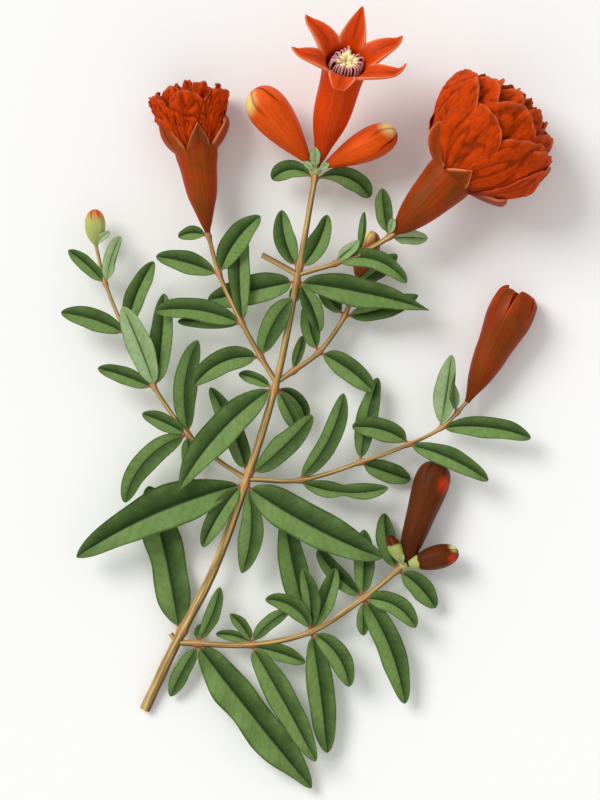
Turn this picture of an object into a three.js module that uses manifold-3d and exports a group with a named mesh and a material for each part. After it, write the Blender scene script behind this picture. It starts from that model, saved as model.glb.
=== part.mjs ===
// A cut flowering sprig of pomegranate, lying on a table.
// Millimetres. +Z is up, +Y runs from the cut end to the top flower.
// The origin is on the table, under the middle of the sprig.
//
// The limbs run through named joints. Each joint carries a tuft: a thin collar round the limb
// with the leaves fused on. The blooms stand on the tips of the limbs.

import * as THREE from "three";
import { mergeVertices } from "three/addons/utils/BufferGeometryUtils.js";
import Module from "manifold-3d";

const wasm = await Module();
wasm.setup();

// ---------------------------------------------------------------- sizes

const GAP = 0.3; // clear space between neighbouring pieces
const LIMB = { sides: 6, step: 8 };
const COLLAR = { wall: 0.75, length: 2.6 };
const LEAF = {
  thickness: 0.7,
  fold: THREE.MathUtils.degToRad(14), // each half rises from the midrib
  petiole: 2,
  petioleWidth: 1.2,
  tipWidth: 1,
  fullest: 0.55, // where along the blade it is widest
  blunt: 0.52,
};
const BLOOM = { sides: 10, leastRadius: 0.7, seat: 0.36 }; // `seat` is the space below a bloom
const BUD_TIP = 0.45; // how blunt a bud ends
const LOBE = { thickness: 1.3, tipWidth: 1.2, taper: 0.7 };
const PATH_STEPS = 14;

const finish = (color, roughness) =>
  new THREE.MeshStandardMaterial({ color, roughness, metalness: 0 });
const BARK = () => finish(0xc9a878, 0.75);
const GREEN = () => finish(0x5f9150, 0.6);
const SCARLET = () => finish(0xc8401a, 0.5);
const MAROON = () => finish(0x6a2a16, 0.5);
const LIME = () => finish(0xa9b060, 0.55);

// ---------------------------------------------------------------- paths

const UP = new THREE.Vector3(0, 0, 1);

// A line through space that shapes are laid along. `right` fixes which way their x axis points;
// without it the x axis stays level.
class Path {
  constructor(points, right = null) {
    this.curve = new THREE.CatmullRomCurve3(points);
    this.length = this.curve.getLength();
    this.right = right;
  }

  frame(distance) {
    const held = THREE.MathUtils.clamp(distance, 0, this.length);
    const along = this.curve.getTangentAt(held / this.length);
    const point = this.curve.getPointAt(held / this.length);
    point.addScaledVector(along, distance - held);
    const right = this.right ?? along.clone().cross(UP).normalize();
    return { point, along, right, up: right.clone().cross(along) };
  }
}

function direction(heading, climb) {
  const h = THREE.MathUtils.degToRad(heading);
  const c = THREE.MathUtils.degToRad(climb);
  return new THREE.Vector3(
    Math.cos(c) * Math.cos(h),
    Math.cos(c) * Math.sin(h),
    Math.sin(c),
  );
}

// A path of one length whose heading and climb turn evenly from the first value to the last.
function turningPath(start, length, heading, climb) {
  const points = [start.clone()];
  for (let i = 0; i < PATH_STEPS; i++) {
    const t = (i + 0.5) / PATH_STEPS;
    const way = direction(
      THREE.MathUtils.lerp(...heading, t),
      THREE.MathUtils.lerp(...climb, t),
    );
    points.push(points[i].clone().addScaledVector(way, length / PATH_STEPS));
  }
  return new Path(points);
}

// Runs from 0 at the base to 1 at `fullest` and back to 0 at the tip. A small `blunt` rounds the tip.
function swell(u, fullest, blunt) {
  const rise = (blunt * fullest) / (1 - fullest);
  return (u / fullest) ** rise * ((1 - u) / (1 - fullest)) ** blunt;
}

// ---------------------------------------------------------------- geometry

function editVertices(geometry, edit) {
  const position = geometry.attributes.position;
  const v = new THREE.Vector3();
  for (let i = 0; i < position.count; i++) {
    edit(v.fromBufferAttribute(position, i));
    position.setXYZ(i, v.x, v.y, v.z);
  }
  return geometry;
}

// Lays a shape along a path: its y is the distance along, its x and z stand off sideways and up.
function follow(geometry, path, roll = 0) {
  const cos = Math.cos(THREE.MathUtils.degToRad(roll));
  const sin = Math.sin(THREE.MathUtils.degToRad(roll));
  return editVertices(geometry, (v) => {
    const { point, right, up } = path.frame(v.y);
    const [x, z] = [v.x * cos - v.z * sin, v.x * sin + v.z * cos];
    v.copy(point).addScaledVector(right, x).addScaledVector(up, z);
  });
}

function solid(geometry) {
  const bare = geometry.clone();
  bare.deleteAttribute("normal");
  bare.deleteAttribute("uv");
  const merged = mergeVertices(bare, 1e-4);
  const corners = [];
  for (let i = 0; i < merged.index.count; i += 3) {
    const face = [0, 1, 2].map((k) => merged.index.getX(i + k));
    if (new Set(face).size === 3) corners.push(...face);
  }
  return new wasm.Manifold(
    new wasm.Mesh({
      numProp: 3,
      vertProperties: merged.attributes.position.array,
      triVerts: Uint32Array.from(corners),
    }),
  );
}

function geometryOf(manifold) {
  const mesh = manifold.getMesh();
  const geometry = new THREE.BufferGeometry();
  geometry.setAttribute(
    "position",
    new THREE.BufferAttribute(mesh.vertProperties, 3),
  );
  geometry.setIndex(new THREE.BufferAttribute(mesh.triVerts, 1));
  geometry.computeVertexNormals();
  return geometry;
}

const join = (solids) => solids.reduce((all, next) => all.add(next));

// The space below the table, which flattens whatever rests on it.
const TABLE = solid(new THREE.BoxGeometry(400, 400, 20).translate(0, 0, -10));

function named(name, manifold, material) {
  const mesh = new THREE.Mesh(geometryOf(manifold), material);
  mesh.name = name;
  return mesh;
}

// ---------------------------------------------------------------- limbs

// A limb runs through its joints (x, y and the height of its centre), and tapers evenly.
class Limb {
  constructor(name, [foot, tip], joints, extras = {}) {
    Object.assign(this, { name, foot, tip, sides: LIMB.sides }, extras);
    this.joints = joints.map((joint) => new THREE.Vector3(...joint));
    this.path = new Path(this.joints);
  }

  // How far along the limb a joint is.
  reach(joint) {
    const divisions = 40;
    const lengths = this.path.curve.getLengths(
      divisions * (this.joints.length - 1),
    );
    return lengths[joint * divisions];
  }

  radius(distance) {
    return THREE.MathUtils.lerp(
      this.foot,
      this.tip,
      distance / this.path.length,
    );
  }

  // A length of the limb with `more` added to its radius.
  stretch(from, to, more) {
    const length = to - from;
    const rings = Math.max(1, Math.round(length / LIMB.step));
    const rod = new THREE.CylinderGeometry(
      this.radius(to) + more,
      this.radius(from) + more,
      length,
      this.sides,
      rings,
    ).translate(0, from + length / 2, 0);
    return solid(follow(rod, this.path));
  }

  // What other pieces have to stay out of.
  clearance() {
    const whole = this.stretch(-GAP, this.path.length + GAP, GAP);
    return this.knob ? whole.add(this.head(this.knob + GAP)) : whole;
  }

  // The round receptacle at the tip, where several blooms sit.
  head(radius) {
    const { x, y, z } = this.joints.at(-1);
    return solid(new THREE.SphereGeometry(radius, 8, 6).translate(x, y, z));
  }

  build() {
    let body = this.stretch(0, this.path.length, 0);
    if (this.knob) body = body.add(this.head(this.knob));
    if (this.scar) body = body.add(this.scarStub());
    if (this.parent) body = body.subtract(this.parent.clearance());
    return body.subtract(TABLE);
  }

  // The short stub of a twig that was cut off.
  scarStub() {
    const { joint, heading, climb, length, radius } = this.scar;
    const foot = this.joints[joint];
    const tip = foot.clone().addScaledVector(direction(heading, climb), length);
    const rod = new THREE.CylinderGeometry(radius, radius, length, LIMB.sides, 1);
    return solid(follow(rod.translate(0, length / 2, 0), new Path([foot, tip])));
  }
}

const mainStem = new Limb(
  "main_stem",
  [1.78, 0.9],
  [
    [-56.7, -110.1, 1.74],
    [-45.5, -86.3, 5],
    [-33.6, -61.4, 8.4],
    [-20.7, -28.9, 12],
    [-10.9, 5.1, 15],
    [-2.8, 42.5, 17],
    [3.5, 79, 15],
  ],
  {
    sides: 8,
    knob: 1.9,
    scar: { joint: 1, heading: 122, climb: 5, length: 3.8, radius: 0.85 },
  },
);
// The main stem's joints that the shoots leave from, and its last one.
const [FORK_A, FORK_B, FORK_C, FORK_D, TOP] = [1, 3, 4, 5, 6];

const lowerRight = new Limb(
  "lower_right_shoot",
  [1.05, 0.8],
  [
    mainStem.joints[FORK_A],
    [-39.5, -86.6, 5.5],
    [-18.9, -87, 7.5],
    [1.8, -82.4, 9],
    [20, -70.2, 9.5],
    [34, -59, 8.8],
  ],
  { parent: mainStem, knob: 1.5 },
);
const middleRight = new Limb(
  "middle_right_shoot",
  [0.82, 0.62],
  [
    mainStem.joints[FORK_B],
    [-2.1, -28.9, 11],
    [19.2, -22.6, 10],
    [36, -16.3, 9.6],
    [47.2, -10.7, 9.3],
    [56, -1.6, 8.8],
  ],
  { parent: mainStem },
);
const middleLeft = new Limb(
  "middle_left_shoot",
  [0.82, 0.55],
  [
    mainStem.joints[FORK_B],
    [-30.6, -22.4, 12.3],
    [-41.3, -13.1, 12.5],
    [-53.2, 3.3, 12.5],
    [-63, 22.2, 11.5],
    [-70.3, 39.7, 10.5],
    [-73.6, 53, 10],
  ],
  { parent: mainStem },
);
const upperLeft = new Limb(
  "upper_left_shoot",
  [0.9, 0.72],
  [
    mainStem.joints[FORK_C],
    [-15.8, 13.8, 16],
    [-22.4, 25.7, 17],
    [-30.4, 42.9, 16.5],
    [-34.4, 57.4, 15.4],
  ],
  { parent: mainStem },
);
const upperRight = new Limb(
  "upper_right_shoot",
  [0.9, 0.7],
  [
    mainStem.joints[FORK_C],
    [-3.4, 9.6, 12.6],
    [4.6, 15.6, 10.5],
    [13.6, 28.5, 9],
    [17.8, 41.4, 8.4],
  ],
  { parent: mainStem },
);
const topRight = new Limb(
  "top_right_shoot",
  [0.75, 0.9],
  [
    mainStem.joints[FORK_D],
    [10.2, 46.4, 18],
    [20.6, 50.6, 19],
    [30.8, 56.8, 20.4],
  ],
  { parent: mainStem },
);
const cutStub = new Limb(
  "cut_stub",
  [0.95, 0.9],
  [
    mainStem.joints[FORK_D],
    [-8.8, 45.9, 17],
    [-15.4, 49.5, 17],
  ],
  { parent: mainStem },
);
const LIMBS = [
  mainStem,
  lowerRight,
  middleRight,
  middleLeft,
  upperLeft,
  upperRight,
  topRight,
  cutStub,
];

// ---------------------------------------------------------------- leaves

// Length and width in mm. Heading is counter-clockwise from +X and climb is above level, both in
// degrees, each at the foot and at the tip of the blade.
const leaf = (length, width, heading, climb, roll = 0) => ({
  length,
  width,
  heading,
  climb,
  roll,
});

function blade({ length, width, heading, climb, roll }, start) {
  const rows = 3 + Math.round(length / 20);
  const box = new THREE.BoxGeometry(1, 1, LEAF.thickness, 2, rows, 1);
  editVertices(box, (v) => {
    const t = 0.5 - 0.5 * Math.cos(Math.PI * (v.y + 0.5)); // rows crowd towards the ends
    const u = Math.max(0, (t * length - LEAF.petiole) / (length - LEAF.petiole));
    const least = t < 0.5 ? LEAF.petioleWidth : LEAF.tipWidth;
    v.x *= Math.max(least, width * swell(u, LEAF.fullest, LEAF.blunt));
    v.y = t * length;
    v.z += Math.abs(v.x) * Math.tan(LEAF.fold);
  });
  return solid(follow(box, turningPath(start, length, heading, climb), roll));
}

// A collar round the limb at a joint, `shift` mm further along, with the leaves fused on.
function tuft(limb, joint, shift, leaves) {
  const centre = limb.reach(joint) + shift;
  const { point, along } = limb.path.frame(centre);
  const radius = limb.radius(centre);
  const half = COLLAR.length / 2;
  const collar = limb.stretch(centre - half, centre + half, GAP + COLLAR.wall);
  const blades = leaves.map((spec) => {
    const way = direction(spec.heading[0], spec.climb[0]);
    const side = way.addScaledVector(along, -way.dot(along)).normalize();
    const start = point
      .clone()
      .addScaledVector(side, radius + GAP + COLLAR.wall / 2);
    return blade(spec, start);
  });
  return LIMBS.reduce(
    (left, other) => left.subtract(other.clearance()),
    join([collar, ...blades]),
  );
}

// Limb, joint, how far past the joint, leaves.
const TUFTS = [
  [mainStem, FORK_A, 4.5, [leaf(51, 12.2, [101, 108], [-6, 8])]],
  [
    mainStem,
    FORK_B,
    -2.4,
    [
      leaf(63, 13, [194, 214], [7, -9]),
      leaf(26, 6.3, [224, 252], [8, -5]),
      leaf(53.5, 12.8, [-37, -20], [15, -14]),
      leaf(31, 8, [284, 246], [5, -10]),
    ],
  ],
  [
    mainStem,
    FORK_B,
    2.6,
    [
      leaf(31.5, 7.5, [97, 121], [2, -2]),
      leaf(29, 7.6, [40, 56], [6, 18]),
    ],
  ],
  [
    mainStem,
    FORK_C,
    -2.4,
    [
      leaf(49, 11.2, [214, 243], [14, -9]),
      leaf(12.5, 4.3, [155, 183], [2, -12]),
      leaf(17, 5.3, [-60, -66], [-2, -25]),
      leaf(15.5, 4.6, [-28, -92], [-34, -20]),
    ],
  ],
  [
    mainStem,
    FORK_D,
    -2.6,
    [
      leaf(31, 9.5, [201, 190], [-14, -6]),
      leaf(8, 4, [262, 258], [-35, -20]),
      leaf(46, 9.3, [-4, -17], [-1, -4]),
      leaf(19, 6, [-56, -78], [0, -15]),
    ],
  ],
  [
    mainStem,
    FORK_D,
    2.8,
    [
      leaf(20.5, 6.8, [116, 88], [5, 5]),
      leaf(20.5, 6.3, [58, 78], [8, 8]),
    ],
  ],
  [
    mainStem,
    TOP,
    -2.9,
    [
      leaf(15.5, 6.5, [140, 228], [-12, -26]),
      leaf(18, 7, [16, -64], [-12, -24]),
    ],
  ],
  [
    lowerRight,
    1,
    1.6,
    [
      leaf(21, 5, [56, 80], [10, 8]),
      leaf(7, 2.6, [110, 40], [-24, -20]),
      leaf(18.5, 5, [232, 252], [-4, -10]),
      leaf(62.5, 12.4, [-47, -52], [3, -5]),
    ],
  ],
  [
    lowerRight,
    2,
    0,
    [
      leaf(13.5, 4.3, [112, 140], [24, 10]),
      leaf(18, 5, [58, 24], [12, 6]),
      leaf(13.5, 3.8, [152, 182], [-18, -8]),
      leaf(18.5, 5, [-6, -26], [6, -6]),
      leaf(45, 8.3, [-58, -62], [9, 0]),
    ],
  ],
  [
    lowerRight,
    3,
    0,
    [
      leaf(41, 9.5, [107, 99], [-9, 3]),
      leaf(19, 5, [118, 178], [24, 6]),
      leaf(22.5, 6, [84, 110], [14, 6]),
      leaf(23, 6, [62, 78], [-2, 2]),
      leaf(40, 9.8, [-77, -85], [-6, -3]),
      leaf(22.5, 7, [-28, -84], [12, -8]),
    ],
  ],
  [
    lowerRight,
    4,
    0,
    [
      leaf(23.5, 7, [86, 92], [-3, -2]),
      leaf(22, 5.6, [152, 112], [-18, -8]),
      leaf(12, 4.3, [262, 268], [-8, -14]),
      leaf(38, 8.7, [-62, -78], [-6, -4]),
      leaf(20, 6.8, [8, -66], [13, -5]),
    ],
  ],
  [
    lowerRight,
    5,
    -2.6,
    [
      leaf(17.5, 7.2, [-34, -64], [-6, -14]),
      leaf(20, 6.3, [118, 94], [-30, 4]),
    ],
  ],
  [
    middleRight,
    1,
    0,
    [
      leaf(33, 7, [40, 80], [7, 5]),
      leaf(31, 5.5, [-24, 16], [-3, -2], 20),
    ],
  ],
  [
    middleRight,
    2,
    0,
    [
      leaf(29.5, 7, [78, 72], [-6, -6]),
      leaf(18.2, 7, [-14, -24], [-20, -26]),
    ],
  ],
  [
    middleRight,
    3,
    0,
    [
      leaf(21, 7, [146, 186], [16, 6]),
      leaf(29.5, 6.4, [-10, -38], [16, -8]),
    ],
  ],
  [
    middleRight,
    4,
    0,
    [
      leaf(26, 6.8, [82, 84], [12, 10]),
      leaf(30.5, 7, [9, -23], [8, -5]),
    ],
  ],
  [middleRight, 5, -5.2, [leaf(10.7, 4, [104, 94], [10, 4])]],
  [
    middleLeft,
    2,
    0,
    [
      leaf(17, 5.3, [134, 168], [8, 4]),
      leaf(33, 7.7, [199, 259], [3, -10]),
      leaf(13, 5, [-84, -88], [-14, -10]),
      leaf(32.6, 7.4, [109, 62], [5, 4]),
    ],
  ],
  [
    middleLeft,
    3,
    0,
    [
      leaf(20, 5.6, [152, 168], [0, -2]),
      leaf(30.5, 8, [104, 117], [16, 3]),
      leaf(32.7, 7, [87, 81], [2, 1]),
    ],
  ],
  [
    middleLeft,
    4,
    0,
    [
      leaf(23, 7, [146, 180], [0, 0]),
      leaf(27, 6.5, [92, 50], [2, 8]),
    ],
  ],
  [
    middleLeft,
    5,
    0,
    [
      leaf(16.6, 5, [126, 148], [5, 0]),
      leaf(17.3, 5.3, [84, 62], [6, 6]),
    ],
  ],
  [
    upperLeft,
    1,
    0,
    [
      leaf(25.6, 6.8, [160, 238], [12, 2]),
      leaf(23, 8, [80, 46], [8, 8]),
    ],
  ],
  [
    upperLeft,
    2,
    0,
    [
      leaf(30.5, 8, [142, 198], [8, -6]),
      leaf(20.5, 4.5, [176, 184], [-16, -6]),
      leaf(36, 7.5, [99, 82], [0, -1]),
    ],
  ],
  [
    upperLeft,
    3,
    0,
    [
      leaf(22, 7, [142, 183], [5, 0]),
      leaf(24, 7.7, [80, 30], [18, 14]),
    ],
  ],
  [upperLeft, 4, -1.5, [leaf(9.8, 4.5, [152, 222], [-6, -10])]],
  [upperRight, 1, -1.2, [leaf(13, 3.6, [68, 78], [-24, -6])]],
  [
    upperRight,
    2,
    0,
    [
      leaf(17.5, 6.3, [116, 88], [10, 6]),
      leaf(23, 8, [-22, -50], [2, 0]),
    ],
  ],
  [
    upperRight,
    3,
    0,
    [
      leaf(25.5, 7, [8, 22], [7, 5]),
      leaf(13, 5.3, [134, 130], [6, 5]),
    ],
  ],
  [upperRight, 4, -2.4, [leaf(18, 5.6, [32, 42], [2, 4])]],
  [
    topRight,
    1,
    0,
    [
      leaf(12, 5.3, [46, 42], [16, 10]),
      leaf(25.5, 6.3, [18, -52], [10, -2]),
    ],
  ],
  [topRight, 2, 0, [leaf(14, 3.8, [92, 86], [8, 8], 50)]],
  [
    topRight,
    3,
    -1.9,
    [
      leaf(16, 5.6, [100, 90], [10, 5]),
      leaf(7, 2.8, [70, 84], [32, 24]),
      leaf(13, 4.3, [-2, -6], [-20, -12]),
    ],
  ],
];

// ---------------------------------------------------------------- blooms

// A round body with one radius after another, evenly spaced from its foot to its far end.
function turned(radii, length, sides = BLOOM.sides) {
  const profile = [new THREE.Vector2(0, 0)];
  radii.forEach((radius, i) =>
    profile.push(
      new THREE.Vector2(radius, (length * (i + 0.5)) / radii.length),
    ),
  );
  profile.push(new THREE.Vector2(0, length));
  return new THREE.LatheGeometry(profile, sides);
}

// A closed bud, widest at `fullest` of its length, with `plump` added towards its foot.
function bud(length, width, fullest, plump, sides = BLOOM.sides) {
  const rings = Math.max(5, Math.round(length / 4));
  const radii = [];
  for (let i = 0; i < rings; i++) {
    const u = (i + 0.5) / rings;
    const foot = plump * Math.sqrt(Math.sin(Math.PI * u)) * (1 - u);
    const radius = (width / 2) * (swell(u, fullest, BUD_TIP) + foot);
    radii.push(Math.max(BLOOM.leastRadius, radius));
  }
  return solid(turned(radii, length, sides));
}

// A ring of pointed lobes round a mouth. They lean out from the axis by `lean`, from foot to tip.
function lobes({ count, radius, height, length, width, lean, turn = 0 }) {
  const across = new THREE.Vector3(1, 0, 0);
  const all = [];
  for (let i = 0; i < count; i++) {
    const points = [new THREE.Vector3(0, height, radius)];
    for (let k = 0; k < PATH_STEPS; k++) {
      const t = (k + 0.5) / PATH_STEPS;
      const angle = THREE.MathUtils.degToRad(THREE.MathUtils.lerp(...lean, t));
      const way = new THREE.Vector3(0, Math.cos(angle), Math.sin(angle));
      points.push(points[k].clone().addScaledVector(way, length / PATH_STEPS));
    }
    const box = new THREE.BoxGeometry(1, 1, LOBE.thickness, 1, 3, 1);
    editVertices(box, (v) => {
      const t = v.y + 0.5;
      v.x *= Math.max(LOBE.tipWidth, width * (1 - t) ** LOBE.taper);
      v.y = t * length;
    });
    follow(box, new Path(points, across));
    box.rotateY(THREE.MathUtils.degToRad(turn + (i * 360) / count));
    all.push(solid(box));
  }
  return all;
}

// The crumpled mass of petals that fills a double flower. Its top is flatter than a ball's.
function petalMass({ height, across, deep }) {
  const ball = new THREE.SphereGeometry(1, 14, 9);
  const ruffles = 0.05;
  const flatness = 0.7;
  editVertices(ball, (v) => {
    const round = Math.atan2(v.z, v.x);
    const belt = 1 - v.y * v.y; // the ruffles die out at the poles
    const waves = Math.sin(5 * round + 3 * v.y) + Math.sin(9 * v.y + 2 * round);
    const size = 1 + ruffles * belt * waves;
    const rise = v.y > 0 ? v.y ** flatness : v.y;
    v.set(v.x * across * size, height + rise * deep * size, v.z * across * size);
  });
  return solid(ball);
}

const SINGLE = {
  radii: [1.3, 2.5, 4.4, 5.7, 6.3, 6.5, 6.8, 7.4, 8.2],
  length: 43,
  climb: [-13, 36], // how the tube curves up from the table
  wall: 1.4,
  throat: { depth: 12, taper: 0.75 },
  lobes: { count: 6, radius: 6.6, height: 39.6, length: 16, width: 10, lean: [24, 88] },
};

// A fleshy tube with six spread lobes and an open throat.
function singleFlower() {
  const { radii, length, climb, wall, throat } = SINGLE;
  const tube = solid(turned(radii, length));
  const mouth = radii.at(-1) - wall;
  const hollow = new THREE.CylinderGeometry(
    mouth,
    mouth * throat.taper,
    throat.depth,
    BLOOM.sides,
  ).translate(0, length - throat.depth / 2, 0);
  const straight = join([tube, ...lobes(SINGLE.lobes)]).subtract(solid(hollow));
  const path = turningPath(new THREE.Vector3(), length, [90, 90], climb);
  return solid(follow(geometryOf(straight), path));
}

// A calyx that splits into lobes round a mass of crumpled petals.
function doubleFlower({ radii, length, calyx, mass }) {
  const tube = solid(turned(radii, length));
  return join([tube, petalMass(mass), ...lobes(calyx)]);
}

const HALF_OPEN = {
  radii: [1.4, 3.7, 5.5, 6.5, 7.5, 8.5, 8.8, 7.2],
  length: 38.5,
  lobes: { count: 6, radius: 6.8, height: 32, length: 9, width: 7.5, lean: [4, -26], turn: 17 },
};

// A calyx whose lobes still close over the petals.
function halfOpenFlower() {
  const tube = solid(turned(HALF_OPEN.radii, HALF_OPEN.length));
  return join([tube, ...lobes(HALF_OPEN.lobes)]);
}

// A bud in a cup.
function cupped(body, radius, length) {
  return body.add(solid(turned([0.8, radius * 0.8, radius], length)));
}

const LEFT_DOUBLE = {
  radii: [1.3, 3, 5.2, 6.2, 6.7, 7.6, 7.6],
  length: 35,
  calyx: { count: 5, radius: 6.4, height: 27.5, length: 12.5, width: 9.4, lean: [18, 36], turn: 9 },
  mass: { height: 42.3, across: 14.2, deep: 10.6 },
};
const RIGHT_DOUBLE = {
  radii: [1.6, 4.8, 6.6, 7.6, 8.6],
  length: 28,
  calyx: { count: 5, radius: 7.4, height: 26, length: 16, width: 12, lean: [48, 46], turn: 10 },
  mass: { height: 46, across: 22.8, deep: 20.5 },
};

// Name, limb whose tip it stands on, heading, climb, shape, finish.
const BLOOMS = [
  ["single_flower", mainStem, 75.5, 16, singleFlower(), SCARLET()],
  ["left_top_bud", mainStem, 128, 2, bud(33.5, 14.3, 0.74, 0.16), SCARLET()],
  ["right_top_bud", mainStem, 24.5, 2, bud(29, 11.4, 0.74, 0.16), SCARLET()],
  ["left_double_flower", upperLeft, 98.5, -2, doubleFlower(LEFT_DOUBLE), SCARLET()],
  ["right_double_flower", topRight, 47, 1, doubleFlower(RIGHT_DOUBLE), SCARLET()],
  ["half_open_flower", middleRight, 63.8, -0.5, halfOpenFlower(), SCARLET()],
  ["dark_bud", lowerRight, 72.5, -4.5, bud(36.5, 13.3, 0.76, 0.3), MAROON()],
  ["small_right_bud", lowerRight, 11, 0, cupped(bud(18, 8.4, 0.62, 0.1), 2.8, 6), MAROON()],
  ["small_left_bud", lowerRight, 116, 16, cupped(bud(10.5, 4.8, 0.55, 0.1, 8), 2.1, 6), LIME()],
  ["hidden_bud", upperRight, 74, 0, bud(17.2, 7.2, 0.62, 0.1), SCARLET()],
  ["green_bud", middleLeft, 92, 0, bud(12.3, 7, 0.58, 0.1), LIME()],
];

function bloomMesh([name, limb, heading, climb, shape, material]) {
  const way = direction(heading, climb);
  const right = way.clone().cross(UP).normalize();
  const seat = limb.joints.at(-1).clone().addScaledVector(way, (limb.knob ?? 0) + BLOOM.seat);
  const place = new THREE.Matrix4().makeBasis(right, way, right.clone().cross(way));
  place.setPosition(seat);
  return named(name, shape.transform(place.elements).subtract(TABLE), material);
}

// ---------------------------------------------------------------- assembly

const sprig = new THREE.Group();
const shoots = new Map();
for (const limb of LIMBS) {
  const shoot = new THREE.Group();
  shoot.add(named(limb.name, limb.build(), BARK()));
  shoots.set(limb, shoot);
  sprig.add(shoot);
}
const counts = new Map();
for (const [limb, joint, shift, leaves] of TUFTS) {
  const number = (counts.get(limb) ?? 0) + 1;
  counts.set(limb, number);
  const title = limb.name.replace(/_(shoot|stem)$/, "") + "_leaves_" + number;
  shoots.get(limb).add(named(title, tuft(limb, joint, shift, leaves), GREEN()));
}
for (const bloom of BLOOMS) shoots.get(bloom[1]).add(bloomMesh(bloom));

export default sprig;
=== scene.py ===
"""A cut flowering pomegranate sprig, lying on a table.

Sizes in the lists below are millimetres, in the frame of the solids: +Y runs from the cut end to the
top flower, +Z is up. Every mesh is scaled to metres once, when it is made.
"""

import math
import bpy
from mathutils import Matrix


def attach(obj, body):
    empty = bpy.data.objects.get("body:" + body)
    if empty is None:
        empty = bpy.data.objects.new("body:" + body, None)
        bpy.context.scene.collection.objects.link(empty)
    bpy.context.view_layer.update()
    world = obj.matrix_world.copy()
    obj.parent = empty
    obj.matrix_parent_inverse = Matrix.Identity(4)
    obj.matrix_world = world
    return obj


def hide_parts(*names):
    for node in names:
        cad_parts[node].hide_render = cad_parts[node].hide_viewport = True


bl_info = {
    "name": "Flowering Sprig",
    "version": (1, 0, 0),
    "blender": (4, 5, 0),
    "location": "3D View > Sidebar > Sprig",
    "description": "Dresses the solids of a cut pomegranate sprig with leaves, bark, petals and buds",
    "category": "Add Mesh",
}

from collections import namedtuple

import bmesh
import bpy
import numpy as np
from bpy.props import FloatProperty, FloatVectorProperty, IntProperty, PointerProperty
from mathutils import Vector, noise

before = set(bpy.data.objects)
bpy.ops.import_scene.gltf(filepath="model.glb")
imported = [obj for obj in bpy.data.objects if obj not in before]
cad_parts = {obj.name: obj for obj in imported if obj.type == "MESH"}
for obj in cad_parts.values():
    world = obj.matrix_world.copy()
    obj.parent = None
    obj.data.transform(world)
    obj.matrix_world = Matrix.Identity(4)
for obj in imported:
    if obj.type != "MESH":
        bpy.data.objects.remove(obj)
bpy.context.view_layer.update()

MM = 0.001
UP = np.array([0.0, 0.0, 1.0])
TURN = 2 * math.pi
# Points that a limb's line has from each joint to the next.
SAMPLES = 24


def paint(red, green, blue):
    """A screen colour from 0 to 255, as the linear colour that Blender works in."""
    screen = [channel / 255 for channel in (red, green, blue)]
    return [c / 12.92 if c <= 0.04045 else ((c + 0.055) / 1.055) ** 2.4 for c in screen]


# ---------------------------------------------------------------- the sprig's own sizes

# Where shoots leave the main stem, from the cut end up.
LOW_FORK = (-45.5, -86.3, 5)
MIDDLE_FORK = (-20.7, -28.9, 12)
UPPER_FORK = (-10.4, 5.0, 15)
TOP_FORK = (-2.8, 42.5, 17)

# Limb: radius at the foot and at the tip, and the joints that it runs through.
LIMBS = {
    "main_stem": (
        (1.78, 0.9),
        (
            (-56.7, -110.1, 1.74), LOW_FORK, (-32.7, -61.6, 8.4), MIDDLE_FORK,
            UPPER_FORK, TOP_FORK, (3.5, 79, 15),
        ),
    ),
    "lower_right_shoot": (
        (1.05, 0.8),
        (
            LOW_FORK, (-39.5, -86.6, 5.5), (-18.9, -87, 7.5), (1.8, -82.4, 9),
            (20.2, -70.6, 9.5), (34.2, -59.2, 8.8),
        ),
    ),
    "middle_right_shoot": (
        (0.82, 0.62),
        (
            MIDDLE_FORK, (-2.1, -29.3, 11), (19.2, -23.0, 10), (36, -16.7, 9.6),
            (47.4, -10.9, 9.3), (56.5, -1.8, 8.8),
        ),
    ),
    "middle_left_shoot": (
        (0.82, 0.55),
        (
            MIDDLE_FORK, (-30.6, -22.4, 12.3), (-41.3, -13.1, 12.5), (-53.2, 3.3, 12.5),
            (-63, 22.2, 11.5), (-70.3, 39.7, 10.5), (-73.6, 53, 10),
        ),
    ),
    "upper_left_shoot": (
        (0.9, 0.72),
        (UPPER_FORK, (-15.8, 13.8, 16), (-22.4, 25.7, 17), (-30.4, 42.9, 16.5), (-34.4, 57.4, 15.4)),
    ),
    "upper_right_shoot": (
        (0.9, 0.7),
        (UPPER_FORK, (-3.4, 9.6, 12.6), (4.6, 15.6, 10.5), (13.6, 28.5, 9), (17.8, 41.4, 8.4)),
    ),
    "top_right_shoot": ((0.75, 0.9), (TOP_FORK, (10.2, 46.4, 18), (20.6, 50.6, 19), (30.8, 56.8, 20.4))),
    "cut_stub": ((0.95, 0.9), (TOP_FORK, (-8.8, 45.9, 17), (-15.4, 49.5, 17))),
}
# Radius of the swollen tips that carry more than one bloom.
KNOBS = {"main_stem": 1.9, "lower_right_shoot": 1.5}
# The stub of a twig that was cut off the main stem.
SCAR = {"joint": 1, "heading": 122, "climb": 5, "length": 3.8, "radius": 0.85}

# One leaf. Heading is counter-clockwise from +X and climb above level, both in degrees, each at the
# foot and at the tip. `dark` is 1 where painted shade darkens the right half and -1 for the left.
# `rolls` turns the blade about its midrib, `curl` rolls the right margin over, `pale` shows the
# underside, and a high `blunt` draws the tip to a point.
Leaf = namedtuple(
    "Leaf",
    "length width heading climb dark rolls curl pale wave tone fullest blunt",
    defaults=(0.0, (0,), 0, False, 0.35, 0.5, 0.48, 0.55),
)
STALK = 1.5
# How far a leaf's foot is sunk in its limb.
SUNK = 0.25

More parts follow.
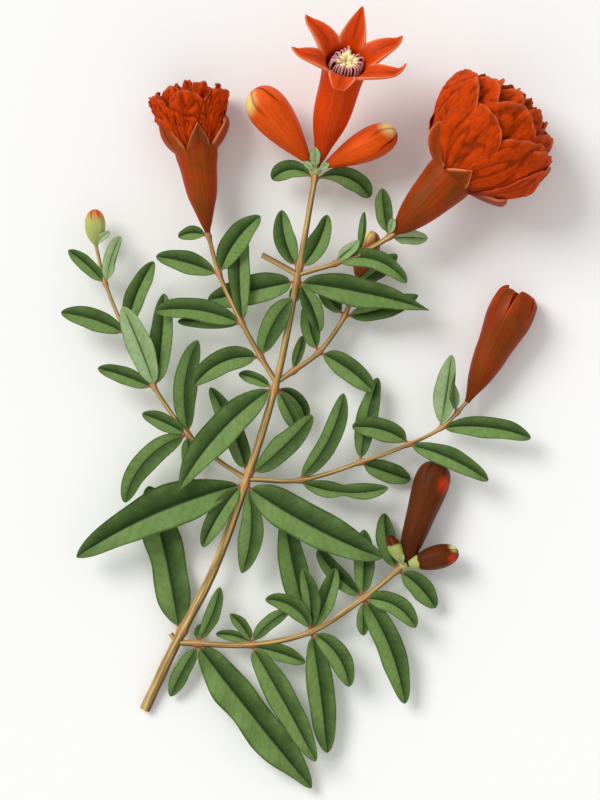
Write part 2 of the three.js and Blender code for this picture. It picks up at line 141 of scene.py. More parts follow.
# The tufts of each limb, by joint and by how far past that joint they leave it.
TUFTS = {
    "main_stem": {
        (1, 4.5): [Leaf(51.5, 13.2, (98, 106), (-6, 8), 0.9, wave=1.2, fullest=0.5)],
        (3, -2.4): [
            Leaf(63.8, 14, (192.5, 215), (7, -9), 1, wave=0.7, tone=0.35, fullest=0.47, blunt=0.7),
            Leaf(26, 7, (226, 250), (8, -5), 1, blunt=0.62),
            Leaf(54, 13.4, (-34, -22), (15, -14), -1, wave=1.1, fullest=0.44, blunt=0.66),
            Leaf(31, 8.4, (284, 248), (5, -10), -1, fullest=0.54, blunt=0.7),
        ],
        (3, 2.6): [
            Leaf(32, 7.8, (104, 123), (2, -2), 1, tone=0.3, fullest=0.42),
            Leaf(30, 8, (36, 52), (6, 18), 0.8),
        ],
        (4, -2.4): [
            Leaf(49, 11.4, (212, 243), (14, -9), 0.5, wave=0.5, tone=0.6, fullest=0.44, blunt=0.8),
            Leaf(12.8, 4.4, (142, 172), (2, -12), 0.3),
            Leaf(17, 5.3, (-60, -66), (-2, -25), -0.9),
            Leaf(18.5, 5.2, (-8, -88), (-34, -20), -1, tone=0.3),
        ],
        (5, -2.6): [
            Leaf(31.5, 10, (190, 194), (-14, -6), 1, fullest=0.42),
            Leaf(8, 4, (262, 258), (-35, -20), 0),
            Leaf(46.8, 10, (-5, -19), (-1, -4), -0.5, wave=0.9, tone=0.4, fullest=0.36, blunt=1.0),
            Leaf(19, 6, (-56, -78), (0, -15), 0.6, tone=0.3),
        ],
        (5, 2.8): [
            Leaf(20.8, 6.8, (124, 86), (5, 5), -0.8, fullest=0.44),
            Leaf(20.8, 6.7, (48, 80), (8, 8), -0.8, tone=0.4, fullest=0.44),
        ],
        (6, -2.9): [
            Leaf(17.2, 6.4, (130, 234), (-12, -26), 1, fullest=0.56),
            Leaf(23, 7, (27, -66), (-12, -24), -1, fullest=0.6),
        ],
    },
    "lower_right_shoot": {
        (1, 1.6): [
            Leaf(21, 5, (56, 80), (10, 8), 0.7),
            Leaf(7, 2.6, (110, 40), (-24, -20), 0),
            Leaf(20.5, 5.8, (236, 247), (-4, -10), -0.7),
            Leaf(64, 13.4, (-51.5, -51.5), (3, -5), -1, wave=1.6, fullest=0.42, blunt=0.62),
        ],
        (2, 0): [
            Leaf(13.5, 4.3, (112, 140), (24, 10), 0.5),
            Leaf(18, 5, (58, 24), (12, 6), 0.5, tone=0.6),
            Leaf(13.5, 3.8, (152, 182), (-18, -8), 0.3),
            Leaf(19.5, 5.8, (-8, -26), (6, -6), -0.5),
            Leaf(46, 9.4, (-58, -64), (9, 0), -1, tone=0.6, fullest=0.42),
        ],
        (3, 0): [
            Leaf(41, 9.5, (107, 99), (-9, 3), 1, tone=0.3),
            Leaf(21.5, 6.4, (106, 184), (24, 6), 0.3),
            Leaf(22.5, 6, (84, 110), (14, 6), 1),
            Leaf(23.5, 6.4, (58, 78), (-2, 2), -0.6, tone=0.6),
            Leaf(42.5, 9.4, (-79.5, -86), (-6, -3), -1),
            Leaf(24, 7.6, (-24, -86), (12, -8), -1),
        ],
        (4, 0): [
            Leaf(23.5, 7, (86, 92), (-3, -2), 0.6),
            Leaf(23.5, 6.2, (146, 122), (-18, -8), 0.3, tone=0.05),
            Leaf(13, 4.6, (266, 270), (-8, -14), -0.7),
            Leaf(39.8, 9.2, (-55, -83), (-6, -4), -1, fullest=0.44),
            Leaf(22, 7.4, (8, -66), (13, -5), -1, tone=0.6),
        ],
        (5, -2.6): [
            Leaf(18.8, 7.6, (-27, -64), (-6, -14), -1),
            Leaf(21, 7, (116, 90), (-30, 4), 0.6, tone=0.3),
        ],
    },
    "middle_right_shoot": {
        (1, 0): [
            Leaf(34.4, 7, (44, 82), (7, 5), 1),
            Leaf(31.5, 6.8, (-23, 15), (-3, -2), -0.6, rolls=(4, 12, 58, 24, 8)),
        ],
        (2, 0): [
            Leaf(30, 7, (84, 72), (-6, -6), 0.5),
            Leaf(20, 7.4, (-18, -20), (-20, -26), -0.9),
        ],
        (3, 0): [
            Leaf(21.5, 7.6, (140, 188), (16, 6), 0.8),
            Leaf(30.8, 7, (-10.5, -38), (16, -8), -0.6),
        ],
        (4, 0): [
            Leaf(26, 8, (80, 83), (12, 10), 0.5, pale=True, curl=0.62, blunt=0.7),
            Leaf(31.8, 7.2, (10.5, -23), (8, -5), -0.9),
        ],
        (5, -5.2): [Leaf(10.7, 4, (104, 94), (10, 4), -0.6, pale=True)],
    },
    "middle_left_shoot": {
        (2, 0): [
            Leaf(17.5, 5.8, (146, 164), (8, 4), 0.5),
            Leaf(34, 8, (196, 259), (3, -10), -0.5, tone=0.6),
            Leaf(13, 5, (-84, -88), (-14, -10), -0.9),
            Leaf(33.4, 8, (105, 64), (5, 4), 0.3, tone=0.35),
        ],
        (3, 0): [
            Leaf(20.5, 6, (153, 168), (0, -2), 0.6),
            Leaf(30.5, 8.6, (108, 115), (16, 3), 0.4, pale=True, tone=0.7, fullest=0.48),
            Leaf(32.7, 7.8, (80, 89), (2, 1), -0.6, fullest=0.46),
        ],
        (4, 0): [
            Leaf(23.8, 7, (148, 176), (0, 0), 0.5, tone=0.6),
            Leaf(27, 6.8, (84, 54), (2, 8), -0.6),
        ],
        (5, 0): [
            Leaf(17.2, 5.2, (128, 147), (5, 0), 0.6),
            Leaf(17.3, 5.3, (84, 62), (6, 6), 0.6, pale=True, curl=0.5),
        ],
    },
    "upper_left_shoot": {
        (1, 0): [
            Leaf(26.4, 8, (168, 238), (12, 2), 1),
            Leaf(23, 8, (80, 46), (8, 8), 0.7),
        ],
        (2, 0): [
            Leaf(30.8, 7.6, (152, 191), (8, -6), 0.4),
            Leaf(22.5, 4.8, (174, 182), (-16, -6), 0.4, tone=0.1),
            Leaf(36, 7.5, (99, 82), (0, -1), -0.6),
        ],
        (3, 0): [
            Leaf(22.5, 7.2, (153, 175), (5, 0), 1),
            Leaf(25.8, 8.4, (75, 34), (18, 14), -0.9),
        ],
        (4, -1.5): [Leaf(10.8, 4.6, (148, 214), (-6, -10), 0.9)],
    },
    "upper_right_shoot": {
        (1, -1.2): [Leaf(13, 3.6, (68, 78), (-24, -6), 0.3)],
        (2, 0): [
            Leaf(17.5, 6.3, (116, 88), (10, 6), 0.4),
            Leaf(23, 8, (-22, -50), (2, 0), -0.7),
        ],
        (3, 0): [
            Leaf(26.5, 7, (6, 26), (6, 4), 0.8, blunt=0.7),
            Leaf(13, 5.3, (134, 130), (6, 5), 0.3, tone=0.1),
        ],
        (4, -2.4): [Leaf(18, 5.6, (32, 42), (2, 4), 0.4)],
    },
    "top_right_shoot": {
        (1, 0): [
            Leaf(11.8, 4.0, (42, 40), (16, 10), 0.4, pale=True, blunt=0.72),
            Leaf(28.4, 6.8, (25, -57), (10, -2), -0.4, fullest=0.46),
        ],
        (2, -2): [Leaf(14.4, 3.8, (76, 90), (8, 8), 0.8, rolls=(50,), tone=0.1)],
        (3, -1.9): [
            Leaf(16.6, 5.6, (106, 90), (10, 5), 0.6),
            Leaf(7, 2.8, (70, 84), (32, 24), 0, pale=True, tone=0.8),
            Leaf(13.6, 5.2, (4, -6), (-20, -12), 0.5, pale=True, wave=0.9),
        ],
    },
}

# Small scales and young leaves at the tips: limb, how far past the tip, leaf.
BRACTS = [
    ("main_stem", 0.6, Leaf(8, 3.6, (96, 88), (30, 8), 0.2, pale=True, tone=0.8)),
    ("main_stem", 0.0, Leaf(5.4, 2.2, (22, 36), (24, -14), 0, pale=True, tone=0.8, blunt=0.8)),
    ("main_stem", 0.0, Leaf(5.4, 2.2, (150, 136), (24, -14), 0, pale=True, tone=0.8, blunt=0.8)),
    ("lower_right_shoot", 0.2, Leaf(5, 1.6, (104, 96), (34, 10), 0, pale=True, tone=0.8, blunt=0.8)),
    ("middle_left_shoot", 0.0, Leaf(7.6, 2.6, (64, 20), (34, 10), 0, pale=True, tone=0.8)),
]

# Outlines of the calyx: radii evenly spaced from the foot, then the length they are spread over.
SINGLE_TUBE = ([1.9, 3.3, 5.0, 6.2, 6.8, 7.0, 7.2, 7.6, 8.2], 43)
LEFT_TUBE = ([1.9, 3.5, 5.1, 5.9, 6.5, 7.5, 7.6], 35)
RIGHT_TUBE = ([2.9, 5.3, 6.8, 7.8, 8.8], 28)
HALF_OPEN_TUBE = ([1.7, 3.5, 4.8, 5.7, 6.3, 7.2, 8.1, 8.4], 38.5)

# One lobe of a calyx. Azimuth goes round the axis: 0 faces up and 90 faces right. Lean is its slant
# away from the axis, from foot to tip. A high `point` gives it straight sides, `twist` is how far its
# margins stand out of and into the ring, and `sweep` how far round its tip bends.
Lobe = namedtuple("Lobe", "azimuth length lean point twist sweep", defaults=(0.8, 0.0, 0.0))
SINGLE_LOBES = [
    Lobe(0, 8.2, (0, 150), 0.4),
    Lobe(60, 15.8, (24, 98, 0), sweep=33),
    Lobe(120, 15.8, (24, 92, 20), sweep=7),
    Lobe(180, 15.2, (20, 60), sweep=-1),
    Lobe(240, 15.6, (24, 92, 30), sweep=1),
    Lobe(300, 14.2, (24, 98, 50), sweep=-17),
]
LEFT_LOBES = [
    Lobe(9, 10.5, (26, 38), 1.0),
    Lobe(81, 12.5, (42, 22, -24), 0.6, 0.7),
    Lobe(153, 12, (24, 30)),
    Lobe(225, 12, (24, 30)),
    Lobe(297, 13.5, (32, 12), 0.7, -1.0),
]
RIGHT_LOBES = [
    Lobe(14, 10.5, (62, 44), 1.0),
    Lobe(86, 15, (68, 62, -20), 0.4, 1.8, -5),
    Lobe(158, 13, (48, 44)),
    Lobe(230, 13, (48, 40)),
    Lobe(302, 15, (58, 22), 0.4, -1.8),
]
HALF_OPEN_LOBES = [Lobe(17 + 60 * i, 14 - i % 2, (8, -12, -70), 0.27) for i in range(6)]

# One petal of a full flower. Azimuth and half spread in degrees; foot, belly and tip each give how far
# along the axis and how far out from it the petal is. A low `puff` leaves long creases, and a high
# `rounding` draws the petal's corners back.
Petal = namedtuple(
    "Petal", "azimuth spread foot belly tip frill crumple puff rounding", defaults=(0.6, 0.8, 1.0, 0.1)
)


def whorl(count, first, step, *shape):
    """Like petals, a step of degrees from one to the next."""
    return [Petal(first + step * i, *shape) for i in range(count)]


RIGHT_PETALS = [
    Petal(-16, 32, (26, 5.4), (40.5, 20.8), (53.5, 22.6), 0.1, 0.5, 1.2, 0.42),
    Petal(44, 36, (26, 5.4), (39, 20), (57, 21.5), 0.25, 0.6, 1.3, 0.26),
    Petal(86, 36, (26, 5.4), (37.5, 20.5), (53.5, 23.4), 0.3, 0.6, 1.2, 0.26),
    Petal(66, 34, (26, 5.2), (40, 19.5), (57.5, 22), 0.3, 0.7, 1.6, 0.26),
    Petal(-66, 42, (26, 5.4), (43.5, 21.6), (59, 22.6), 0.3, 0.7, 1.8, 0.26),
    *whorl(3, 132, 48, 34, (26, 5.2), (40, 20.5), (57.5, 21), 0.4, 0.8, 2.0, 0.26),
    *whorl(6, 10, 60, 38, (27, 4.4), (45, 18), (62.5, 17), 0.14, 0.7, 1.8, 0.22),
    *whorl(6, 40, 60, 40, (28, 3.4), (47, 13), (65.5, 11), 0.14, 0.75, 2.0, 0.22),
    *whorl(4, 20, 90, 50, (29, 2), (49, 7), (66.5, 5), 0.14, 0.8, 2.0, 0.22),
]
LEFT_PETALS = [
    *whorl(6, -6, 60, 34, (25, 4.5), (38, 10.6), (48.5, 15.2), 0.4, 0.8, 3.0, 0.26),
    *whorl(6, 24, 60, 36, (26, 3.5), (39.5, 9), (51, 11.6), 0.4, 0.9, 3.4, 0.26),
    *whorl(5, 5, 72, 42, (27, 2.5), (40, 6), (52.5, 6.5), 0.5, 0.9, 3.4, 0.26),
]
HALF_OPEN_PETALS = whorl(3, 0, 120, 62, (24, 5), (34, 5.6), (41, 3.0), 0.2, 0.3)

# Flower: the outline and mouth of its calyx, how far the pale edges of the lobes show from outside,
# the lobes, the petals, and a seed for their crumpling.
Flower = namedtuple("Flower", "tube mouth rim lobes petals seed", defaults=((), 0))
SINGLE_FLOWER = Flower(SINGLE_TUBE, 41.0, 0.3, SINGLE_LOBES)
FULL_FLOWERS = {
    "left_double_flower": Flower(LEFT_TUBE, 28.4, 0.5, LEFT_LOBES, LEFT_PETALS, 1),
    "right_double_flower": Flower(RIGHT_TUBE, 27.6, 0.9, RIGHT_LOBES, RIGHT_PETALS, 5),
    "half_open_flower": Flower(HALF_OPEN_TUBE, 30, 0.45, HALF_OPEN_LOBES, HALF_OPEN_PETALS, 8),
}
# The single flower's own: how its axis climbs from foot to mouth beyond its seat, half the width of a
# lobe, and how far up the axis the stamens stand.
SINGLE_CLIMB = (-13, 36)
SINGLE_LOBE_WIDTH = 5.9
STAMEN_FOOT = 37.5

# One closed bud: where it is widest, as a share of its length, and how plump its foot is. `spot` is
# the pale patch near its tip, its own pale colour with a painted highlight on the lit upper left,
# and `blush` the red one, each as azimuth, share of the length, and radius. `cap` browns the top.
Bud = namedtuple("Bud", "length width fullest plump finish spot blush cap", defaults=(None, None, 0.0))
BUDS = {
    "left_top_bud": Bud(33.5, 14.3, 0.74, 0.22, "scarlet", spot=(-62, 0.93, 6.6)),
    "right_top_bud": Bud(29, 11.4, 0.72, 0.22, "scarlet", spot=(-40, 0.95, 5.4)),
    "dark_bud": Bud(36.5, 12.2, 0.82, 1.1, "maroon", blush=(48, 0.8, 4.8)),
    "small_right_bud": Bud(18, 8.4, 0.62, 0.1, "maroon", spot=(-46, 0.93, 2.6), blush=(34, 0.86, 2.9)),
    "small_left_bud": Bud(10.5, 4.8, 0.55, 0.1, "lime", cap=0.9),
    "hidden_bud": Bud(17.2, 8.2, 0.62, 0.1, "tan", spot=(-50, 0.9, 5.0)),
    "green_bud": Bud(12.3, 7, 0.58, 0.1, "lime", blush=(50, 0.97, 6.4)),
}
# Radius and length of the green cup below a young bud.
CUPS = {"small_right_bud": (2.8, 6), "small_left_bud": (2.1, 6)}

# Where each bloom stands: limb, heading, climb.
SEATS = {
    "single_flower": ("main_stem", 74.3, 16),
    "left_top_bud": ("main_stem", 128, 2),
    "right_top_bud": ("main_stem", 26.3, 2),
    "left_double_flower": ("upper_left_shoot", 97.9, -2),
    "right_double_flower": ("top_right_shoot", 45.4, 1),
    "half_open_flower": ("middle_right_shoot", 63.6, -0.5),
    "dark_bud": ("lower_right_shoot", 71.2, -4.5),
    "small_right_bud": ("lower_right_shoot", 14, 0),
    "small_left_bud": ("lower_right_shoot", 116, 16),
    "hidden_bud": ("upper_right_shoot", 70, 0),
    "green_bud": ("middle_left_shoot", 92, 0),
}
# Gap below a bloom, and radius of its neck.
SEAT_GAP = 0.36
NECK = 1.0
# Length of a bloom's skin that one unit of its UV map stands for.
SKIN_UNIT = 8


# ---------------------------------------------------------------- lines through space


def stacked(*parts):
    """Spreads the parts to one shape and joins them along a new last axis."""
    return np.stack(np.broadcast_arrays(*parts), -1)


def direction(heading, climb):
    """Unit vectors from a heading and a climb in degrees."""
    h, c = np.radians(heading), np.radians(climb)
    return stacked(np.cos(c) * np.cos(h), np.cos(c) * np.sin(h), np.sin(c))


def lathe(turn, y, radius):
    """Points at an angle round the Y axis, a place along it and a distance out from it."""
    return stacked(radius * np.sin(turn), y, radius * np.cos(turn))


def unit(vectors):
    """The vectors, each made one long."""
    return vectors / np.maximum(np.linalg.norm(vectors, axis=-1, keepdims=True), 1e-12)


def eased(count):
    """Steps from 0 to 1 in a column, closer together at both ends."""
    return 0.5 - 0.5 * np.cos(np.pi * np.linspace(0, 1, count))[:, None]


def swell(u, fullest, blunt):
    """0 at the base, 1 at `fullest`, 0 at the tip. A small `blunt` rounds the tip."""
    rise = blunt * fullest / (1 - fullest)
    return (u / fullest) ** rise * ((1 - u) / (1 - fullest)) ** blunt


def ramp(value, low, high):
    """0 up to `low`, 1 from `high` on, and a smooth rise between them."""
    t = np.clip((value - low) / (high - low), 0, 1)
    return t * t * (3 - 2 * t)


class Path:
    """A finely sampled line that shapes are laid along."""

    def __init__(self, points):
        self.points = np.asarray(points, float)
        steps = np.linalg.norm(np.diff(self.points, axis=0), axis=1)
        self.at = np.concatenate([[0], np.cumsum(steps)])
        self.length = self.at[-1]
        self.ways = unit(np.gradient(self.points, self.at, axis=0))

    def frame(self, distance):
        """Point, right, along and up at each distance. Right stays level."""
        held = np.clip(distance, 0, self.length)
        point = np.stack([np.interp(held, self.at, p) for p in self.points.T], -1)
        along = unit(np.stack([np.interp(held, self.at, w) for w in self.ways.T], -1))
        point = point + along * (distance - held)[..., None]
        right = unit(np.cross(along, UP))
        return point, right, along, np.cross(right, along)

    def bend(self, points):
        """Bends a shape that stands on the Y axis along the path."""
        point, right, _, up = self.frame(points[:, 1])
        return point + right * points[:, :1] + up * points[:, 2:]


def turning_path(start, length, heading, climb, steps=60):
    """A path whose heading and climb turn evenly from the first value to the last."""
    t = (np.arange(steps) + 0.5) / steps
    ways = direction(heading[0] + (heading[1] - heading[0]) * t, climb[0] + (climb[1] - climb[0]) * t)
    return Path(np.asarray(start) + np.concatenate([np.zeros((1, 3)), np.cumsum(ways, 0)]) * length / steps)


def spline(joints):
    """A smooth line through the joints, with the sampling even in time between each two."""
    p = [np.asarray(j, float) for j in joints]
    p = [2 * p[0] - p[1], *p, 2 * p[-1] - p[-2]]
    t = np.linspace(0, 1, SAMPLES, endpoint=False)[:, None]
    pieces = []
    for a, b, c, d in zip(p, p[1:], p[2:], p[3:]):
        ab, bc, cd = [math.sqrt(np.linalg.norm(q - r)) for q, r in ((b, a), (c, b), (d, c))]
        leave = ((b - a) / ab - (c - a) / (ab + bc) + (c - b) / bc) * bc
        reach = ((c - b) / bc - (d - b) / (bc + cd) + (d - c) / cd) * bc
        cubic = 2 * b - 2 * c + leave + reach
        square = -3 * b + 3 * c - 2 * leave - reach
        pieces.append(cubic * t**3 + square * t**2 + leave * t + b)
    return np.concatenate([*pieces, p[-2][None]])


class Limb:
    """The main stem or one of its side shoots."""

    def __init__(self, name):
        (self.foot, self.tip), self.joints = LIMBS[name]
        self.path = Path(spline(self.joints))
        self.end = np.asarray(self.joints[-1], float)

    def reach(self, joint):
        """How far along the limb a joint is."""
        return self.path.at[min(joint * SAMPLES, len(self.path.at) - 1)]

    def radius(self, distance):
        """It thins evenly from foot to tip."""
        return self.foot + (self.tip - self.foot) * distance / self.path.length


# ---------------------------------------------------------------- meshes


def quads(rows, cols):
    """Faces of a grid of points, row by row. They point along (next column) x (next row)."""
    r, c = np.mgrid[0 : rows - 1, 0 : cols - 1]
    n = c + 1
    return np.stack([r * cols + c, r * cols + n, (r + 1) * cols + n, (r + 1) * cols + c], -1).reshape(-1, 4)


def normals_of(grid):
    """Unit normals of a grid of points."""
    return unit(np.cross(np.gradient(grid, axis=1), np.gradient(grid, axis=0)))


class Piece:
    """Gathers grids of points, in millimetres, into one mesh."""

    def __init__(self):
        self.points, self.faces, self.uvs, self.slots = [], [], [], []
        self.marks = {}
        self.count = 0

    def add(self, points, faces, uv, slots=0, **marks):
        """Marks are values for the materials to read, spread over the points. What has none gets 0."""
        points = np.asarray(points, float)
        shape = points.shape[:-1]
        self.points.append(points.reshape(-1, 3))
        self.faces.append(faces + self.count)
        self.uvs.append(np.broadcast_to(uv, (*shape, 2)).reshape(-1, 2))
        self.slots.append(np.broadcast_to(slots, len(faces)))
        for name in {**self.marks, **marks}:
            kept = self.marks.setdefault(name, [np.zeros(self.count)])
            kept.append(np.broadcast_to(marks.get(name, 0.0), shape).ravel())
        self.count += points.size // 3

    def add_shell(self, front, back, rim, uv, slots=(0, 0), **marks):
        """Two grids of points, one behind the other, joined along the points of the rim."""
        rows, cols = front.shape[:2]
        top = quads(rows, cols)
        under = top[:, ::-1] + rows * cols
        near, far = rim[:-1], rim[1:]
        joint = np.stack([near, near + rows * cols, far + rows * cols, far], -1)
        worn = np.repeat(slots, [len(top), len(under) + len(joint)])
        self.add([front, back], np.concatenate([top, under, joint]), uv, worn, **marks)

    def add_sheet(self, grid, thickness, uv, slots=(0, 0), **marks):
        """A closed sheet of that thickness about a grid of points."""
        half = normals_of(grid) * (np.asarray(thickness, float) / 2)[..., None]
        index = np.arange(grid[..., 0].size).reshape(grid.shape[:2])
        rim = np.concatenate([index[0], index[1:, -1], index[-1, -2::-1], index[-2::-1, 0]])
        self.add_shell(grid + half, grid - half, rim, uv, slots, **marks)

    def place(self, basis):
        """Moves all the points so far by (origin, right, along, up)."""
        origin, *axes = basis
        self.points = [p @ np.stack(axes) + origin for p in self.points]

    def edit(self, change):
        """Runs all the points so far through a function."""
        self.points = [change(p) for p in self.points]


def add_object(name, data):
    """A new object in the scene."""
    made = bpy.data.objects.new(name, data)
    bpy.context.collection.objects.link(made)
    return made


def settle(made, node):
    """Ties a finished piece to the solids."""
    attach(made, "root")
    if node:
        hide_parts(node)


def merge(mesh):
    """Closes seams and poles."""
    work = bmesh.new()
    work.from_mesh(mesh)
    bmesh.ops.remove_doubles(work, verts=work.verts, dist=2e-6)
    bmesh.ops.dissolve_degenerate(work, edges=work.edges, dist=1e-7)
    work.to_mesh(mesh)
    work.free()
    mesh.update()


def make(name, piece, materials, node, crease=50):
    """The finished object: scaled to metres, seams merged, riding on the sprig.

    `crease` is the angle in degrees past which an edge stays sharp.
    """
    mesh = bpy.data.meshes.new(name)
    mesh.from_pydata(np.concatenate(piece.points) * MM, [], np.concatenate(piece.faces).tolist())
    for material in materials:
        mesh.materials.append(material)
    mesh.polygons.foreach_set("material_index", np.concatenate(piece.slots).astype(np.int32))
    corners = np.empty(len(mesh.loops), np.int32)
    mesh.loops.foreach_get("vertex_index", corners)
    layer = mesh.uv_layers.new(name="surface")
    layer.uv.foreach_set("vector", np.concatenate(piece.uvs)[corners].astype(np.float32).ravel())
    for mark, values in piece.marks.items():
        attribute = mesh.attributes.new(mark, "FLOAT", "POINT")
        attribute.data.foreach_set("value", np.concatenate(values).astype(np.float32))
    merge(mesh)
    mesh.polygons.foreach_set("use_smooth", np.ones(len(mesh.polygons), bool))
    mesh.set_sharp_from_angle(angle=math.radians(crease))
    settle(add_object(name, mesh), node)


# ---------------------------------------------------------------- settings


def setting(name, description, default, **more):
    """A number to set in the sidebar."""
    return FloatProperty(name=name, description=description, default=default, **more)


def length(name, description, millimetres):
    return setting(name, description, millimetres * MM, unit="LENGTH", min=0.0, precision=5)


def angle(name, description, degrees):
    return setting(name, description, math.radians(degrees), subtype="ANGLE")


def colour(name, what, *screen):
    limits = {"size": 3, "min": 0.0, "max": 1.0, "subtype": "COLOR"}
    return FloatVectorProperty(name=name, description="Colour of " + what, default=paint(*screen), **limits)


class SprigLeaves(bpy.types.PropertyGroup):
    thickness: length("Thickness", "Thickness of a blade", 0.36)
    fold: angle("Fold", "How far each half rises from the midrib", 14)
    groove: length("Groove", "Depth of the midrib's groove", 0.3)
    # The dark half is painted shade on one side of the folded blade; the light half is its lit side.
    light: colour("Light half", "the lighter half", 112, 140, 76)
    dark: colour("Dark half", "the darker half", 40, 64, 22)
    midline: colour("Midrib", "the midrib", 22, 44, 20)
    under: colour("Underside", "the pale underside", 160, 184, 134)
    stalk: colour("Stalk", "the leaf stalk", 176, 104, 76)


class SprigStems(bpy.types.PropertyGroup):
    swelling: length("Swelling", "How far a node stands out of the stem", 0.4)
    ridge: setting("Ridge", "Height of the four ridges, as a share of the radius", 0.05)
    light: colour("Light bark", "the lit bark", 210, 175, 110)
    # The dark bark colour serves both the real streaks and the painted shade down each limb's right side.
    dark: colour("Dark bark", "the streaks", 94, 66, 30)
    flush: colour("Flush", "the nodes", 190, 104, 78)
    wood: colour("Cut wood", "the cut faces", 232, 208, 160)


class SprigBlooms(bpy.types.PropertyGroup):
    wall: length("Wall", "Thickness of the fleshy calyx", 1.1)
    petal: length("Petal", "Thickness of a petal", 0.22)
    stamens: IntProperty(name="Stamens", description="Stamens in the open flower", default=30, min=3)
    scarlet: colour("Scarlet", "the open flower", 220, 68, 4)
    bud: colour("Bud", "the two top buds", 228, 85, 12)
    crimson: colour("Crimson", "the crumpled petals", 196, 62, 1)
    husk: colour("Husk", "the double flowers' calyx", 172, 58, 2)
    ripe: colour("Ripe", "the half-open calyx", 148, 48, 2)
    tarnish: colour("Tarnish", "the patches on a weathered calyx", 118, 66, 14)
    blush: colour("Blush", "the red flush on a bud", 218, 60, 12)
    tan: colour("Tan", "the bud behind the leaves", 172, 92, 44)
    # The colour of painted shade in the folds and at the feet of the calyces and buds.
    shade: colour("Shade", "folds and feet", 92, 27, 0)
    inner: colour("Inner", "the inner side of the lobes", 216, 98, 46)
    glow: colour("Glow", "petal rims and lobe edges", 240, 142, 96)
    throat: colour("Throat", "the inside of the open flower", 120, 8, 18)
    maroon: colour("Maroon", "the dark buds", 96, 44, 8)
    # Painted shade in the dark buds' folds and at their feet.
    maroon_shade: colour("Soot", "the dark buds' folds and feet", 50, 18, 8)
    lime: colour("Lime", "the young buds", 172, 182, 104)
    # The pale bud tips, with a painted highlight on their lit side.
    spot: colour("Spot", "the pale bud tips", 240, 226, 140)
    filament: colour("Filament", "the stamens", 226, 168, 168)
    anther: colour("Anther", "the pollen sacs", 244, 232, 170)


class SprigStage(bpy.types.PropertyGroup):
    floor: colour("Floor", "the table", 248, 248, 246)
    size: setting("Size", "Side of the table", 30.0, unit="LENGTH")
    key: setting("Key", "Strength of the main light", 1.8)
    fill: setting("Fill", "Strength of the light from all round", 0.64)
    soft: angle("Soft", "Width of the main light in the sky", 30)
    lens: setting("Lens", "Focal length in millimetres", 300.0)


# ---------------------------------------------------------------- finishes


class Value:
    """What a socket puts out, to be reckoned with like a number."""

    def __init__(self, nodes, socket):
        self.nodes, self.socket = nodes, socket

    def __add__(self, other):
        return self.nodes.math("ADD", self, other)

    def __sub__(self, other):
        return self.nodes.math("SUBTRACT", self, other)

    def __rsub__(self, other):
        return self.nodes.math("SUBTRACT", other, self)

    def __mul__(self, other):
        return self.nodes.math("MULTIPLY", self, other)


class Nodes:
    """Short calls that build one node tree."""

    def __init__(self, tree):
        self.tree = tree

    def add(self, kind, inputs=None, **settings):
        made = self.tree.nodes.new(kind)
        for name, value in settings.items():
            setattr(made, name, value)
        for name, value in (inputs or {}).items():
            self.put(made.inputs[name], value)
        return made

    def put(self, socket, value):
        if isinstance(value, Value):
            self.tree.links.new(value.socket, socket)
        elif hasattr(value, "__len__"):
            socket.default_value = (*value, 1.0) if len(value) < len(socket.default_value) else value
        else:
            socket.default_value = value

    def get(self, kind, inputs=None, output=0, **settings):
        """What the new node puts out."""
        return Value(self, self.add(kind, inputs, **settings).outputs[output])

    def math(self, operation, a, b=0.0, clamp=False):
        return self.get("ShaderNodeMath", {0: a, 1: b}, operation=operation, use_clamp=clamp)

    def smooth(self, value, low, high):
        inputs = {"Value": value, "From Min": low, "From Max": high}
        return self.get("ShaderNodeMapRange", inputs, interpolation_type="SMOOTHSTEP")

    def mix(self, factor, a, b):
        return self.get("ShaderNodeMix", {0: factor, 6: a, 7: b}, 2, data_type="RGBA")

    def mark(self, name):
        return self.get("ShaderNodeAttribute", output="Fac", attribute_name=name)

    def surface(self):
        """The two places in the piece's UV map: round or across it, and along it."""
        inputs = {"Vector": self.get("ShaderNodeUVMap", uv_map="surface")}
        split = self.add("ShaderNodeSeparateXYZ", inputs).outputs
        return Value(self, split["X"]), Value(self, split["Y"])

    def grain(self, scale, detail=2.0, place=None):
        """Noise over the object, 0 to 1. Scale is in waves to the metre."""
        place = place or self.get("ShaderNodeTexCoord", output="Object")
        return self.get("ShaderNodeTexNoise", {"Vector": place, "Scale": scale, "Detail": detail})

    def group(self, tree, **inputs):
        """All that the group puts out."""
        inputs = {name.replace("_", " "): value for name, value in inputs.items()}
        made = self.add("ShaderNodeGroup", inputs, node_tree=tree)
        return [Value(self, socket) for socket in made.outputs]

    def deliver(self, **values):
        """Links what this group puts out, and hands over its tree."""
        self.add("NodeGroupOutput", values)
        return self.tree


SOCKETS = {int: "NodeSocketInt", float: "NodeSocketFloat", tuple: "NodeSocketColor"}


def new_group(name, inputs, outputs, kind="ShaderNodeTree"):
    """The Nodes of an empty group, and what comes in. Inputs are given with their defaults."""
    tree = bpy.data.node_groups.new(name, kind)
    for label, value in inputs.items():
        socket = tree.interface.new_socket(label, in_out="INPUT", socket_type=SOCKETS[type(value)])
        socket.default_value = value
    for label, socket_type in outputs.items():
        tree.interface.new_socket(label, in_out="OUTPUT", socket_type=socket_type)
    nodes = Nodes(tree)
    given = nodes.add("NodeGroupInput").outputs
    return nodes, {label: Value(nodes, given[label]) for label in inputs}


def once(build):
    """Builds a group on its first use and hands out the same one afterwards."""
    kept = []

    def hand_out():
        if not kept:
            kept.append(build())
        return kept[0]

    return hand_out


